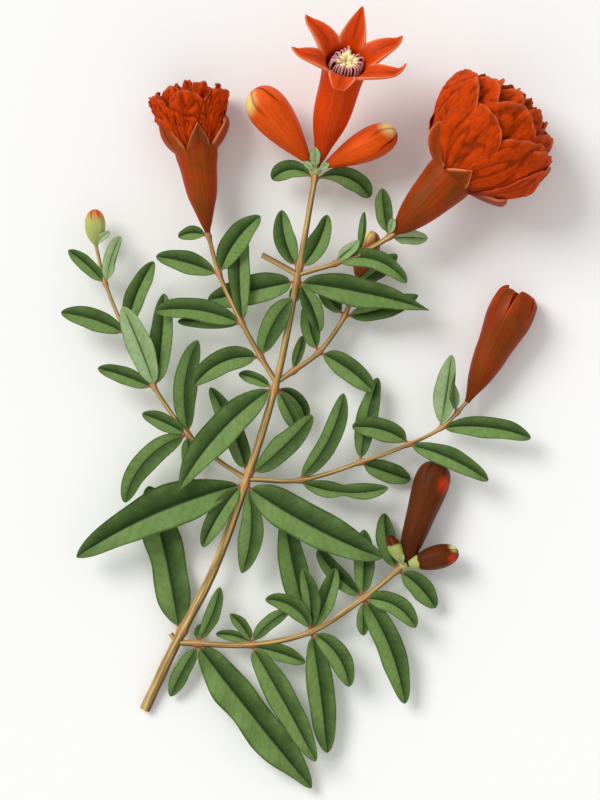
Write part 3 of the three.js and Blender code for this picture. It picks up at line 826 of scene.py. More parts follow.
@once
def wash():
    """Uneven colour, like pigment in a living surface: soft clouds, and fine grain on top."""
    nodes, given = new_group(
        "Uneven colour",
        {"Color": (1, 1, 1, 1), "Cloud Scale": 250.0, "Cloud": 0.3, "Grain": 0.15},
        {"Color": "NodeSocketColor", "Height": "NodeSocketFloat"},
    )
    cloud = nodes.grain(given["Cloud Scale"], 3.0) - 0.5
    fine = nodes.grain(2600.0, 1.0) - 0.5
    value = (cloud * given["Cloud"] + fine * given["Grain"]) * 2.0 + 1.0
    uneven = nodes.get("ShaderNodeHueSaturation", {"Value": value, "Color": given["Color"]})
    return nodes.deliver(Color=uneven, Height=fine * 0.4 + cloud)


@once
def crinkles():
    """Creases that fan out along a petal, 0 on a line and 1 between them.

    The piece's UV map holds across and along.
    """
    nodes, given = new_group("Petal creases", {"Scale": 3.0}, {"Mask": "NodeSocketFloat"})
    surface = nodes.get("ShaderNodeUVMap", uv_map="surface")
    stretched = nodes.get("ShaderNodeVectorMath", {0: surface, 1: (1.0, 0.42, 1.0)}, operation="MULTIPLY")
    shift = nodes.get("ShaderNodeCombineXYZ", {"X": nodes.grain(200.0) * 0.5})
    place = nodes.get("ShaderNodeVectorMath", {0: stretched, 1: shift}, operation="ADD")
    away = nodes.math("ABSOLUTE", nodes.grain(given["Scale"], 2.0, place) - 0.5)
    return nodes.deliver(Mask=nodes.smooth(away, 0.0, 0.05))


@once
def streaks():
    """Fine lines that run along a stem or a calyx: the piece's UV map holds around and along."""
    nodes, given = new_group("Lengthwise streaks", {"Around": 6.0, "Along": 1.0}, {"Mask": "NodeSocketFloat"})
    around, along = nodes.surface()
    turn = around * TURN
    x = nodes.math("COSINE", turn) * given["Around"]
    y = nodes.math("SINE", turn) * given["Around"]
    place = nodes.get("ShaderNodeCombineXYZ", {"X": x, "Y": y, "Z": along * given["Along"]})
    return nodes.deliver(Mask=nodes.smooth(nodes.grain(1.0, 2.0, place), 0.35, 0.65))


class Finish(Nodes):
    """The nodes of one material."""

    def __init__(self, name):
        self.material = bpy.data.materials.new(name)
        self.material.use_nodes = True
        super().__init__(self.material.node_tree)
        self.tree.nodes.clear()

    def shade(self, tint, height, roughness, specular):
        """Ends the material, and hands it over. `height` stands out as fine relief."""
        bump = self.get("ShaderNodeBump", {"Height": height, "Strength": 0.5, "Distance": 0.00015})
        inputs = {"Base Color": tint, "Roughness": roughness, "Specular IOR Level": specular, "Normal": bump}
        shader = self.get("ShaderNodeBsdfPrincipled", inputs)
        self.add("ShaderNodeOutputMaterial", {"Surface": shader})
        return self.material


def blade_finish(name, light, dark, midline, stalk, depth, roughness, specular):
    """The blade with painted shade over one half, and its dark midrib. `depth` is how strong that painted
    shade is.
    """
    nodes = Finish(name)
    across, along = nodes.surface()
    across = across * 2.0 - 1.0
    out = nodes.math("ABSOLUTE", across)
    fade = 1.0 - out * (nodes.grain(160.0) * 0.8 + 0.2)
    # Painted shade over the darker half, strongest beside the midrib.
    half = nodes.smooth(across * nodes.mark("dark"), -0.04, 0.06) * fade
    foot = 1.0 - nodes.smooth(along, 0.0, 0.22)
    ends = nodes.math("MAXIMUM", nodes.smooth(along, 0.72, 1.05), foot) * 0.45
    gloom = nodes.math("MAXIMUM", half * depth, ends)
    gloom = nodes.math("ADD", gloom, (0.5 - nodes.mark("tone")) * 0.6, clamp=True)
    body = nodes.mix(gloom, light, dark)
    midrib = (1.0 - nodes.smooth(out, 0.03, 0.13)) * (1.0 - nodes.smooth(along, 0.86, 0.98))
    body = nodes.mix(midrib * 0.85, body, midline)
    slanting = (along * 13.0 - out * 1.4) * TURN
    veins = nodes.smooth(nodes.math("SINE", slanting), 0.2, 1.0)
    body = nodes.mix(veins * 0.06, body, dark)
    body = nodes.mix(nodes.smooth(out, 0.84, 1.0) * 0.75, body, dark)
    body = nodes.mix(nodes.mark("stalk"), body, stalk)
    tint, height = nodes.group(wash(), Color=body, Cloud_Scale=500.0, Cloud=0.28, Grain=0.16)
    return nodes.shade(tint, height + veins * 0.8, roughness, specular)


def bark_finish(stems):
    """Tan bark with brown streaks, painted shade down its right side, and flushed red at the nodes."""
    nodes = Finish("young bark")
    around, _ = nodes.surface()
    # Painted shade down the right side of each limb, in the dark bark colour.
    shaded = nodes.smooth(nodes.math("COSINE", around * TURN), 0.35, 0.7)
    (lines,) = nodes.group(streaks(), Around=2.4, Along=0.07)
    body = nodes.mix(nodes.math("MAXIMUM", lines * 0.7, shaded * 0.9), stems.light, stems.dark)
    body = nodes.mix(nodes.mark("node") * 0.35, body, stems.flush)
    tint, height = nodes.group(wash(), Color=body, Cloud_Scale=260.0, Cloud=0.14, Grain=0.14)
    return nodes.shade(tint, lines + height, 0.62, 0.25)


def calyx_finish(name, blooms, body, gloom=0.4, tarnish=0.0, **tints):
    """Waxy skin of a calyx: finely lined, with painted shade at the foot and in its creases, and paler at the
    lobes' edges.

    `tarnish` is how much of it has turned brown in patches.
    """
    tints = {"shade": blooms.shade, "glow": blooms.glow, "inside": blooms.glow, **tints}
    nodes = Finish(name)
    (lines,) = nodes.group(streaks(), Around=8.0, Along=0.5)
    around, _ = nodes.surface()
    upper = nodes.smooth(nodes.math("COSINE", around * TURN), 0.1, 0.95)
    patches = upper * nodes.smooth(nodes.grain(90.0, 3.0), 0.2, 0.7)
    skin = nodes.mix(patches * tarnish, body, blooms.tarnish)
    # Painted shade at the foot and in the creases, mixed over the skin's real fine lines.
    foot = 1.0 - nodes.smooth(nodes.mark("height"), 0.0, 0.5)
    dark = foot * gloom + lines * (gloom * 0.55)
    skin = nodes.mix(nodes.math("ADD", dark, nodes.mark("crease"), clamp=True), skin, tints["shade"])
    skin = nodes.mix(nodes.mark("edge"), skin, tints["glow"])
    skin = nodes.mix(nodes.mark("inside"), skin, tints["inside"])
    skin = nodes.mix(nodes.mark("blush") * (lines * 0.5 + 0.5), skin, blooms.blush)
    skin = nodes.mix(nodes.mark("spot"), skin, blooms.spot)
    tint, height = nodes.group(wash(), Color=skin, Cloud_Scale=110.0, Cloud=0.26, Grain=0.2)
    return nodes.shade(tint, height + lines, 0.42, 0.1)


def petal_finish(blooms):
    """Thin petals: painted shade in their folds and fine creases, with a pale edge."""
    nodes = Finish("crumpled petal")
    (creased,) = nodes.group(crinkles(), Scale=3.0)
    lit = nodes.smooth(nodes.mark("fold"), 0.0, 0.8) * (creased * 0.28 + 0.72)
    body = nodes.mix(lit, blooms.shade, blooms.crimson)
    body = nodes.mix(nodes.mark("edge") * 0.22, body, blooms.glow)
    tint, height = nodes.group(wash(), Color=body, Cloud_Scale=350.0, Cloud=0.35, Grain=0.2)
    return nodes.shade(tint, height + creased, 0.65, 0.06)


def plain_finish(name, tint, roughness, specular=0.3, scale=900.0, cloud=0.3, grain=0.2):
    """One colour with only the uneven colour over it."""
    nodes = Finish(name)
    tint, height = nodes.group(wash(), Color=list(tint), Cloud_Scale=scale, Cloud=cloud, Grain=grain)
    return nodes.shade(tint, height, roughness, specular)


# ---------------------------------------------------------------- limbs


def tube(piece, path, radii, distances, sides, **marks):
    """Rings round the path, closed at each end by a disc of cut wood that stays flat."""
    turn = np.linspace(0, TURN, sides + 1)
    point, right, _, up = path.frame(distances)
    out, above = stacked(radii * np.cos(turn)), stacked(radii * -np.sin(turn))
    grid = point + right * out + up * above
    piece.add(grid, quads(len(grid), sides + 1), stacked(turn / TURN, distances), **marks)
    disc = stacked(turn / TURN, np.array([[0.0], [1.0], [2.0]]))
    for ring, centre, way in ((grid[0], path.points[0], -1), (grid[-1], path.points[-1], 1)):
        rows = np.stack([ring, centre + (ring - centre) * 0.55, np.broadcast_to(centre, ring.shape)])
        piece.add(rows, quads(3, sides + 1)[:, ::way], disc, 1)


def limb_piece(name, stems):
    """A ridged limb, swollen where leaves leave it."""
    sides, step, node_length, unevenness = 28, 0.7, 1.3, 0.05
    limb = Limb(name)
    distances = np.linspace(0, limb.path.length, max(24, round(limb.path.length / step)))[:, None]
    bulge = np.zeros_like(distances)
    for joint, past in TUFTS.get(name, ()):
        bulge += np.exp(-(((distances - (limb.reach(joint) + past)) / node_length) ** 2))
    wander = np.array([[noise.noise(Vector((d * 0.22, limb.foot * 9, 0.5)))] for d in distances[:, 0]])
    thick = limb.radius(distances) * (1 + unevenness * wander) + bulge * stems.swelling / MM
    ridges = 1 + stems.ridge * np.cos(4 * np.linspace(0, TURN, sides + 1))
    piece = Piece()
    tube(piece, limb.path, thick * ridges, distances, sides, node=np.clip(bulge, 0, 1))
    return piece


def twig_scar(piece):
    """The stub of the twig that was cut off."""
    foot = np.asarray(LIMBS["main_stem"][1][SCAR["joint"]], float)
    tip = foot + direction(SCAR["heading"], SCAR["climb"]) * SCAR["length"]
    distances = np.linspace(0, SCAR["length"], 8)[:, None]
    tube(piece, Path([foot, tip]), SCAR["radius"] * (1.15 - 0.04 * distances), distances, 20)


# ---------------------------------------------------------------- leaves


def blade(piece, leaf, start, leaves, seed):
    """One leaf: a thin closed sheet, folded along a grooved midrib. The seed sets its waves."""
    cols, knee, groove_width, wavelength = 19, 0.3, 0.5, 15
    t = eased(max(20, round(leaf.length)))
    k = np.linspace(-1, 1, cols)
    across = np.sign(k) * (0.5 * np.abs(k) ** 1.5 + 0.5 * np.sin(np.abs(k) * np.pi / 2))
    u = np.clip((t * leaf.length - STALK) / (leaf.length - STALK), 0, 1)
    leafy = 1.04 * leaf.width / 2 * swell(u, leaf.fullest, leaf.blunt)
    half = np.sqrt(leafy**2 + (0.42 * (1 - t) ** 0.5 + 0.04) ** 2)
    drift = np.array([[noise.noise(Vector((v * 3.2, side * 5.0, seed))) for side in (0, 1)] for v in t[:, 0]])
    sway = np.where(across < 0, drift[:, :1], drift[:, 1:])
    x = across * half * (1 + 0.3 * sway * leaf.wave**0.5)
    lift = (np.sqrt(x**2 + knee**2) - knee) * math.tan(leaves.fold)
    groove = np.exp(-((x / groove_width) ** 2)) * leaves.groove / MM * ramp(u, 0.0, 0.1)
    waves = np.sin(TURN * (t * leaf.length / wavelength + 0.25 * np.sign(across) + seed))
    ripple = leaf.wave * waves * across**2 * half * 0.16
    z = lift - groove * (1 - ramp(u, 0.85, 1.0)) + ripple
    if leaf.curl:
        flat = (1 - 0.55 * ramp(u, 0.12, 0.4)) * half
        past = np.maximum(x - flat, 0) / leaf.curl
        z = np.where(x > flat, z + leaf.curl * (1 - np.cos(past)), z)
        x = np.where(x > flat, flat + leaf.curl * np.sin(past), x)
    rolls = np.radians(np.interp(t, np.linspace(0, 1, len(leaf.rolls)), leaf.rolls))
    x, z = x * np.cos(rolls) - z * np.sin(rolls), x * np.sin(rolls) + z * np.cos(rolls)
    path = turning_path(start, leaf.length, leaf.heading, leaf.climb)
    point, right, _, up = path.frame(t * leaf.length)
    grid = point + right * x[..., None] + up * z[..., None]
    thickness = leaves.thickness / MM * (1 - 0.55 * across**4) * (1 - 0.4 * t)
    slots, redness = ((1, 0), 0.35) if leaf.pale else ((0, 1), 0.7)
    red = (1 - ramp(t * leaf.length, 0.9, 2.3)) * redness
    uv = stacked(across * 0.5 + 0.5, t)
    # `dark` picks the half that gets the painted shade.
    piece.add_sheet(grid, thickness, uv, slots, dark=leaf.dark, tone=leaf.tone, stalk=red)


def root_of(limb, distance, leaf):
    """Where a leaf leaves its limb: on the side that it grows towards, sunk in a little."""
    point, _, along, _ = limb.path.frame(np.array([distance]))
    way = direction(leaf.heading[0], leaf.climb[0])
    side = unit(way - along[0] * (way @ along[0]))
    return point[0] + side * (limb.radius(distance) - SUNK)


# ---------------------------------------------------------------- blooms


def seat(name):
    """Origin and axes of a bloom: right, along and up."""
    owner, heading, climb = SEATS[name]
    way = direction(heading, climb)
    right = unit(np.cross(way, UP))
    return Limb(owner).end + way * (KNOBS.get(owner, 0) + SEAT_GAP), right, way, np.cross(right, way)


def rest_on_table(points):
    """Presses what would reach below the table flat on it."""
    start, lowest, soft = 0.6, 0.05, 0.55
    z = points[:, 2]
    pressed = np.where(z < start, lowest + soft * np.exp((np.minimum(z, start) - start) / soft), z)
    return np.column_stack([points[:, :2], pressed])


def tube_radius(outline, y):
    """How far the calyx stands out from its axis at each place along it."""
    radii, reach = outline
    at = (np.arange(len(radii)) + 0.5) * reach / len(radii)
    line = spline([(a, r, 0) for a, r in zip([-0.8, 0.4, *at], [NECK, NECK * 1.1, *radii])])
    return np.interp(y, line[:, 0], line[:, 1])


def calyx(piece, flower, wall, width=None):
    """A tube that splits into lobes, as one closed shell.

    Each lobe has its own strip of the tube, and beyond the mouth the strip narrows to a tip.
    """
    below, beyond, cols = 40, 26, 13
    foot, mouth = -0.7, flower.mouth
    s = np.linspace(-1, 1, cols)
    share = math.pi / len(flower.lobes)
    y_tube = foot + (mouth - foot) * np.linspace(0, 1, below) ** 1.4
    r_tube = tube_radius(flower.tube, y_tube)
    r_tube[0] = 0.0
    q = np.linspace(0, 1, beyond + 1)[1:]
    opened = np.concatenate([np.zeros(below), q])[:, None]
    index = np.arange((below + beyond) * cols).reshape(-1, cols)
    rim = np.concatenate([index[below - 1 :, -1], index[-1, -2:0:-1], index[: below - 2 : -1, 0]])
    # A line of painted shade down the middle of each lobe, carried by the crease mark.
    midline = np.exp(-((s / 0.2) ** 2)) * ramp(opened, 0.05, 0.3) * (1 - ramp(opened, 0.7, 1.0))
    border = np.clip(np.abs(s) ** 8 * ramp(opened, 0.02, 0.2) + ramp(opened, 0.93, 1.0) * 0.5, 0, 1)
    for lobe in flower.lobes:
        step = lobe.length / beyond
        knots = (0, 1) if len(lobe.lean) == 2 else (0, 0.72, 1)
        tilt = np.radians(np.interp(q - 0.5 / beyond, knots, lobe.lean))
        y = np.concatenate([y_tube, mouth + np.cumsum(np.cos(tilt)) * step])[:, None]
        r = np.concatenate([r_tube, r_tube[-1] + np.cumsum(np.sin(tilt)) * step])
        half = (width or share * r_tube[-1]) * (1 - q) ** lobe.point * (1 + 0.12 * np.sin(math.pi * q))
        narrow = np.minimum(share, half / np.maximum(r[below:], 0.5))
        spread = np.concatenate([np.full(below, share), narrow])[:, None]
        turn = np.radians(lobe.azimuth + lobe.sweep * opened**1.5) + s * spread
        r = r[:, None] + lobe.twist * s * np.sin(math.pi * opened**0.8)
        grid = lathe(turn, y, r)
        thin = wall * (1 - 0.35 * opened) * ramp(y, foot, 3.0) ** 0.5
        thin = np.maximum(np.broadcast_to(thin, r.shape), 0.05)
        inner = grid - normals_of(grid) * thin[..., None]
        within = grid * (1 - thin / np.maximum(r, thin + 0.05))[..., None]
        inner[:below, :, ::2] = within[:below, :, ::2]
        inner[:below, :, 1] = grid[:below, :, 1] + 0.4
        deep = 1 - ramp(y, mouth - 5, mouth + 1.5)
        piece.add_shell(
            grid,
            inner,
            rim,
            stacked(turn / TURN, y / SKIN_UNIT),
            height=y / mouth,
            edge=np.stack([border * flower.rim, border]),
            crease=0.4 * midline,
            inside=np.stack([0 * deep, deep]),
        )


def field(x, y, seed):
    """Smooth noise over a grid."""
    spots = stacked(x, y, seed)
    values = [noise.noise(Vector(spot)) for spot in spots.reshape(-1, 3)]
    return np.array(values).reshape(spots.shape[:-1])


def crumpled_petal(piece, petal, thickness, covered, seed):
    """A thin sheet that fans out from its foot, crumpled like tissue and frilled at its edge.

    It is smooth up to `covered`, where the calyx holds it.
    """
    cells = 42
    t = np.linspace(0, 1, cells)[:, None]
    s = np.linspace(-1, 1, cells)
    nicks = 0.035 * np.sin(4.3 * s + seed * 2.1) + 0.014 * np.sin(15 * s + seed * 3.1)
    corners = petal.rounding * (1 - np.sqrt(1 - 0.98 * s**2))
    reach = t * (1 - 0.09 * s**2 - corners + (0.3 + petal.frill) * nicks * t**4)
    foot, belly, tip = (np.array(spot) for spot in (petal.foot, petal.belly, petal.tip))
    control = 2 * belly - (foot + tip) / 2
    near, middle, far = (1 - reach) ** 2, 2 * reach * (1 - reach), reach**2
    y, r = [near * a + middle * b + far * c for a, b, c in zip(foot, control, tip)]
    fan = 0.6 + 0.4 * ramp(t, 0.0, 0.5)
    base = lathe(np.radians(petal.azimuth + s * petal.spread * fan), y, r)
    across = s * petal.spread / 13
    along = t * (tip[0] - foot[0]) / 14
    warp = 0.8 * field(across * 0.6, along * 0.9, seed + 0.3)
    wide = np.abs(field((across + warp) * 0.95, (along + warp) * 0.85 * petal.puff, seed * 3.7))
    narrow = np.abs(field((across + warp) * 2.3, along * 2.0 * petal.puff, seed * 5.1))
    frill = np.sin(s * (12 + seed % 4) + seed * 1.7 + 3 * warp) * t**5
    free = ramp(y, covered - 1, covered + 9)
    calm = 1 - (0.9 - petal.frill) * ramp(t, 0.7, 1.0)
    bump = petal.crumple * ((3.0 * wide + 1.7 * narrow) * calm - 1.0) * free + petal.frill * 0.9 * frill
    grid = base + normals_of(base) * bump[..., None]
    # `fold` is how lit the petal is painted: painted shade in its folds, where the calyx holds it, and over
    # the more crumpled inner petals.
    fold = (0.35 + 0.65 * ramp(wide, 0.0, 0.22)) * (0.7 + 0.3 * ramp(narrow, 0.0, 0.16))
    fold = fold * (0.3 + 0.7 * ramp(y, covered - 2, covered + 6)) * (1.25 - 0.4 * petal.crumple)
    edge = np.clip(ramp(t, 0.94, 1.0) + ramp(np.abs(s), 0.95, 1.0) * ramp(t, 0.3, 0.6), 0, 1)
    uv = stacked(s * petal.spread / 36 + 9 * seed, t)
    piece.add_sheet(grid, thickness, uv, (1, 1), fold=fold, edge=edge)


def bud_shape(piece, bud):
    """A closed bud with its lobes' seams drawn together at the tip."""
    rows, sides, seams, twist = 64, 84, 6, 0.3
    v = eased(rows)
    turn = np.linspace(0, TURN, sides + 1)
    held = np.clip(v, 1e-6, 1 - 1e-6)
    plump = bud.plump * np.sin(np.pi * held) ** 0.5 * (1 - held) ** 2
    neck = 0.85 * NECK * np.sqrt(np.clip(1 - v / 0.12, 0, 1)) * (v > 0)
    r = np.maximum(bud.width / 2 * (swell(held, bud.fullest, 0.45) + plump), neck)
    r[0] = r[-1] = 0
    part = (seams * turn / TURN + twist + 0.16 * np.sin(9 * v)) % 1.0
    gap = np.minimum(part, 1 - part) * 2
    line = np.exp(-((gap * np.maximum(r * np.pi / seams, 0.2) / 0.36) ** 2)) * ramp(v, 0.6, 0.86)
    ribs = 0.012 * bud.width * np.cos(seams * turn + twist * TURN) * np.sin(np.pi * v)
    lined = np.maximum(r + ribs - 0.26 * line * (r > 0.4), 0)
    lined[0] = lined[-1] = 0
    y = v * bud.length - 0.6 * np.exp(-14 * v)
    grid = lathe(turn, y, lined)

    def patch(place):
        """A soft patch on the skin, 0 to 1."""
        if not place:
            return 0.0
        azimuth, share, radius = place
        centre = lathe(math.radians(azimuth), share * bud.length, np.interp(share, v[:, 0], r[:, 0]))
        return 1 - ramp(np.linalg.norm(grid - centre, axis=-1), radius * 0.15, radius)

    piece.add(
        grid,
        quads(rows, sides + 1),
        stacked(turn / TURN, y / SKIN_UNIT),
        height=v,
        # The seams are drawn in painted shade; the cap in the same mark is the bud's own brown top.
        crease=np.clip(0.9 * line + bud.cap * ramp(v + 0.06 * np.sin(turn - 0.6), 0.6, 0.68), 0, 1),
        # The pale tip, with a painted highlight on its lit upper left.
        spot=patch(bud.spot) * 0.95 * (1 - 0.7 * line),
        blush=patch(bud.blush),
    )


def cup_shape(piece, radius, reach):
    """The green cup below a young bud, in the piece's second finish."""
    rows, sides, wall, floor = 12, 32, 0.35, 0.2
    v = np.linspace(0, 1, rows)
    turn = np.linspace(0, TURN, sides + 1)
    r = radius * np.sin(np.pi * (0.12 + 0.5 * v)) ** 0.7
    r = np.concatenate([[0], r, r[::-1] - wall, [0]])[:, None]
    y = np.concatenate([[0], v * reach, v[::-1] * reach + floor, [floor]])[:, None]
    ragged = 1 + 0.08 * np.sin(5 * turn) * ramp(y, reach * 0.5, reach)
    uv = stacked(turn / TURN, y / SKIN_UNIT)
    piece.add(lathe(turn, y * ragged, r), quads(len(y), len(turn)), uv, 1, height=0.6)


def receptacle(piece, limb, radius):
    """The swollen green tip of a limb, lumpy where the blooms leave it."""
    rows, sides = 20, 32
    v = np.linspace(0, np.pi, rows)[:, None]
    turn = np.linspace(0, TURN, sides + 1)
    lumps = 1 + 0.07 * np.cos(5 * turn) * np.sin(v) ** 2
    grid = lathe(turn, -np.cos(v) * lumps, np.sin(v) * lumps) * radius
    piece.add(grid, quads(len(v), len(turn)), stacked(turn / TURN, v), height=0.8)
    _, *axes = (part[0] for part in limb.path.frame(np.array([limb.path.length])))
    piece.place((limb.end, *axes))


# ---------------------------------------------------------------- stamens, by Geometry Nodes


def stamen_tree(anthers, material, sizes):
    """Stamens in a ring, each arching in to the middle. One tree makes the threads or their tips."""
    name = "Anthers" if anthers else "Filaments"
    nodes, given = new_group(name, sizes, {"Geometry": "NodeSocketGeometry"}, "GeometryNodeTree")
    rise, ring = given["Rise"], given["Ring Radius"]
    index = nodes.get("GeometryNodeInputIndex")

    def vector(**axes):
        return nodes.get("ShaderNodeCombineXYZ", axes)

    def stray(low, high):
        """A number of its own for each stamen."""
        inputs = {2: low, 3: high, "ID": index, "Seed": given["Seed"]}
        return nodes.get("FunctionNodeRandomValue", inputs, 1, data_type="FLOAT")

    tip = vector(X=ring * -0.52, Z=rise * 0.86)
    if anthers:
        sac = nodes.get("GeometryNodeMeshUVSphere", {"Segments": 8, "Rings": 6, "Radius": given["Tip Size"]})
        posed = {"Translation": tip, "Rotation": (0.0, 1.0, 0.0), "Scale": (0.75, 0.75, 1.35)}
        shape = nodes.get("GeometryNodeTransform", {"Geometry": sac, **posed})
    else:
        inputs = {"Resolution": 9, "Start": (0.0, 0.0, 0.0), "Middle": vector(X=ring * 0.12, Z=rise * 1.5)}
        curve = nodes.get("GeometryNodeCurveQuadraticBezier", {**inputs, "End": tip})
        inputs = {"Resolution": 6, "Radius": given["Thread Radius"]}
        profile = nodes.get("GeometryNodeCurvePrimitiveCircle", inputs)
        inputs = {"Curve": curve, "Profile Curve": profile, "Fill Caps": True}
        shape = nodes.get("GeometryNodeCurveToMesh", inputs)
    circle = nodes.get("GeometryNodeMeshCircle", {"Vertices": given["Count"], "Radius": ring})
    lean, size = stray(-0.16, 0.16), stray(0.72, 1.12)
    share = nodes.math("DIVIDE", index * TURN, given["Count"])
    posed = {"Rotation": vector(Y=lean, Z=share + lean), "Scale": vector(X=size, Y=size, Z=size)}
    spread = nodes.get("GeometryNodeInstanceOnPoints", {"Points": circle, "Instance": shape, **posed})
    real = nodes.get("GeometryNodeRealizeInstances", {"Geometry": spread})
    dressed = nodes.get("GeometryNodeSetMaterial", {"Geometry": real, "Material": material})
    return nodes.deliver(Geometry=dressed)


def grow_stamens(name, anthers, material, sizes, basis):
    """Runs the tree and keeps its result as a plain mesh at the flower's mouth."""
    host = add_object(name + "_host", bpy.data.meshes.new(name + "_host"))
    modifier = host.modifiers.new("Stamens", "NODES")
    modifier.node_group = stamen_tree(anthers, material, sizes)
    for item in modifier.node_group.interface.items_tree:
        if item.in_out == "INPUT":
            modifier[item.identifier] = sizes[item.name]
    mesh = bpy.data.meshes.new_from_object(host.evaluated_get(bpy.context.evaluated_depsgraph_get()))
    bpy.data.objects.remove(host)
    origin, right, along, up = basis
    spots = np.empty(len(mesh.vertices) * 3, np.float32)
    mesh.vertices.foreach_get("co", spots)
    spots = spots.reshape(-1, 3) @ np.stack([right, -up, along]) + origin * MM
    mesh.vertices.foreach_set("co", spots.astype(np.float32).ravel())
    mesh.polygons.foreach_set("use_smooth", np.ones(len(mesh.polygons), bool))
    mesh.update()
    settle(add_object(name, mesh), None)


# ---------------------------------------------------------------- operators


class SPRIG_OT_stems(bpy.types.Operator):
    """Dress the stem and its side shoots with bark"""

    bl_idname = "sprig.stems"
    bl_label = "Stems"

    def execute(self, context):
        stems = context.scene.sprig_stems
        wood = plain_finish("cut wood", stems.wood, 0.8, 0.1, scale=1500.0, cloud=0.35, grain=0.3)
        materials = [bark_finish(stems), wood]
        for name in LIMBS:
            piece = limb_piece(name, stems)
            if name == "main_stem":
                twig_scar(piece)
            piece.edit(rest_on_table)
            make(name + "_bark", piece, materials, name)
        return {"FINISHED"}


class SPRIG_OT_leaves(bpy.types.Operator):
    """Make every tuft of leaves"""

    bl_idname = "sprig.leaves"
    bl_label = "Leaves"

    def execute(self, context):
        tints = context.scene.sprig_leaves
        # On the underside the light green stands in as the painted shade of the darker half.
        face = blade_finish("leaf face", tints.light, tints.dark, tints.midline, tints.stalk, 1.0, 0.5, 0.1)
        back = blade_finish("leaf back", tints.under, tints.light, tints.dark, tints.stalk, 0.8, 0.6, 0.06)
        tufts = [(owner, n, spot) for owner in TUFTS for n, spot in enumerate(TUFTS[owner], 1)]
        for number, (owner, n, (joint, past)) in enumerate(tufts):
            limb, piece = Limb(owner), Piece()
            for k, leaf in enumerate(TUFTS[owner][joint, past]):
                start = root_of(limb, limb.reach(joint) + past, leaf)
                blade(piece, leaf, start, tints, number * 1.7 + k * 0.61)
            piece.edit(rest_on_table)
            node = f"{owner.rsplit('_', 1)[0]}_leaves_{n}"
            make(node + "_blades", piece, [face, back], node, crease=60)
        bracts = Piece()
        for k, (owner, past, leaf) in enumerate(BRACTS):
            start = Limb(owner).end + direction(leaf.heading[0], leaf.climb[0]) * past
            blade(bracts, leaf, start + UP * KNOBS.get(owner, 0.6) * 0.8, tints, 90 + k)
        make("bracts", bracts, [face, back], None, crease=60)
        return {"FINISHED"}


class SPRIG_OT_single_flower(bpy.types.Operator):
    """Make the open flower, its calyx and its stamens"""

    bl_idname = "sprig.single_flower"
    bl_label = "Single Flower"

    def execute(self, context):
        blooms = context.scene.sprig_blooms
        skin = calyx_finish("open calyx", blooms, blooms.scarlet, inside=blooms.throat)
        piece = Piece()
        calyx(piece, SINGLE_FLOWER, blooms.wall / MM, SINGLE_LOBE_WIDTH)
        path = turning_path((0, 0, 0), SINGLE_TUBE[1], (90, 90), SINGLE_CLIMB)
        piece.edit(path.bend)
        origin, *axes = seat("single_flower")
        piece.place((origin, *axes))
        make("single_flower_calyx", piece, [skin], "single_flower")
        foot, *ways = (part[0] @ np.stack(axes) for part in path.frame(np.array([STAMEN_FOOT])))
        threads = plain_finish("stamen thread", blooms.filament, 0.5)
        sacs = plain_finish("pollen sac", blooms.anther, 0.8)
        sizes = {"Count": blooms.stamens, "Ring Radius": 5.6 * MM, "Rise": 5.5 * MM}
        sizes.update({"Thread Radius": 0.3 * MM, "Tip Size": 0.95 * MM, "Seed": 4})
        inner = {**sizes, "Count": blooms.stamens // 2, "Ring Radius": 2.6 * MM, "Seed": 9}
        for ring, own in (("", sizes), ("inner_", inner)):
            grow_stamens(ring + "stamen_threads", False, threads, own, (foot + origin, *ways))
            grow_stamens(ring + "pollen_sacs", True, sacs, own, (foot + origin, *ways))
        return {"FINISHED"}


class SPRIG_OT_full_flowers(bpy.types.Operator):
    """Make the two double flowers and the half-open one"""

    bl_idname = "sprig.full_flowers"
    bl_label = "Full Flowers"

    def execute(self, context):
        blooms = context.scene.sprig_blooms
        inner = blooms.inner
        full = calyx_finish("full calyx", blooms, blooms.husk, tarnish=0.85, inside=inner)
        ripe = calyx_finish("ripe calyx", blooms, blooms.ripe, tarnish=0.8, glow=blooms.scarlet, inside=inner)
        crumpled = petal_finish(blooms)
        for name, flower in FULL_FLOWERS.items():
            piece = Piece()
            calyx(piece, flower, blooms.wall / MM)
            for k, petal in enumerate(flower.petals):
                crumpled_petal(piece, petal, blooms.petal / MM, flower.mouth + 2, flower.seed * 10 + k)
            piece.place(seat(name))
            piece.edit(rest_on_table)
            skin = ripe if name == "half_open_flower" else full
            make(name + "_bloom", piece, [skin, crumpled], name, crease=70)
        return {"FINISHED"}


class SPRIG_OT_buds(bpy.types.Operator):
    """Make the buds and the green receptacles they stand on"""

    bl_idname = "sprig.buds"
    bl_label = "Buds"

    def execute(self, context):
        blooms = context.scene.sprig_blooms
        skins = {
            "scarlet": calyx_finish("scarlet bud", blooms, blooms.bud, 0.3),
            "maroon": calyx_finish("maroon bud", blooms, blooms.maroon, shade=blooms.maroon_shade),
            "lime": calyx_finish("lime bud", blooms, blooms.lime, 0.06),
            "tan": calyx_finish("tan bud", blooms, blooms.tan),
        }
        for name, bud in BUDS.items():
            piece = Piece()
            bud_shape(piece, bud)
            if name in CUPS:
                cup_shape(piece, *CUPS[name])
            piece.place(seat(name))
            piece.edit(rest_on_table)
            make(name + "_skin", piece, [skins[bud.finish], skins["lime"]], name)
        for owner, radius in KNOBS.items():
            piece = Piece()
            receptacle(piece, Limb(owner), radius)
            make(owner + "_receptacle", piece, [skins["lime"]], None)
        return {"FINISHED"}


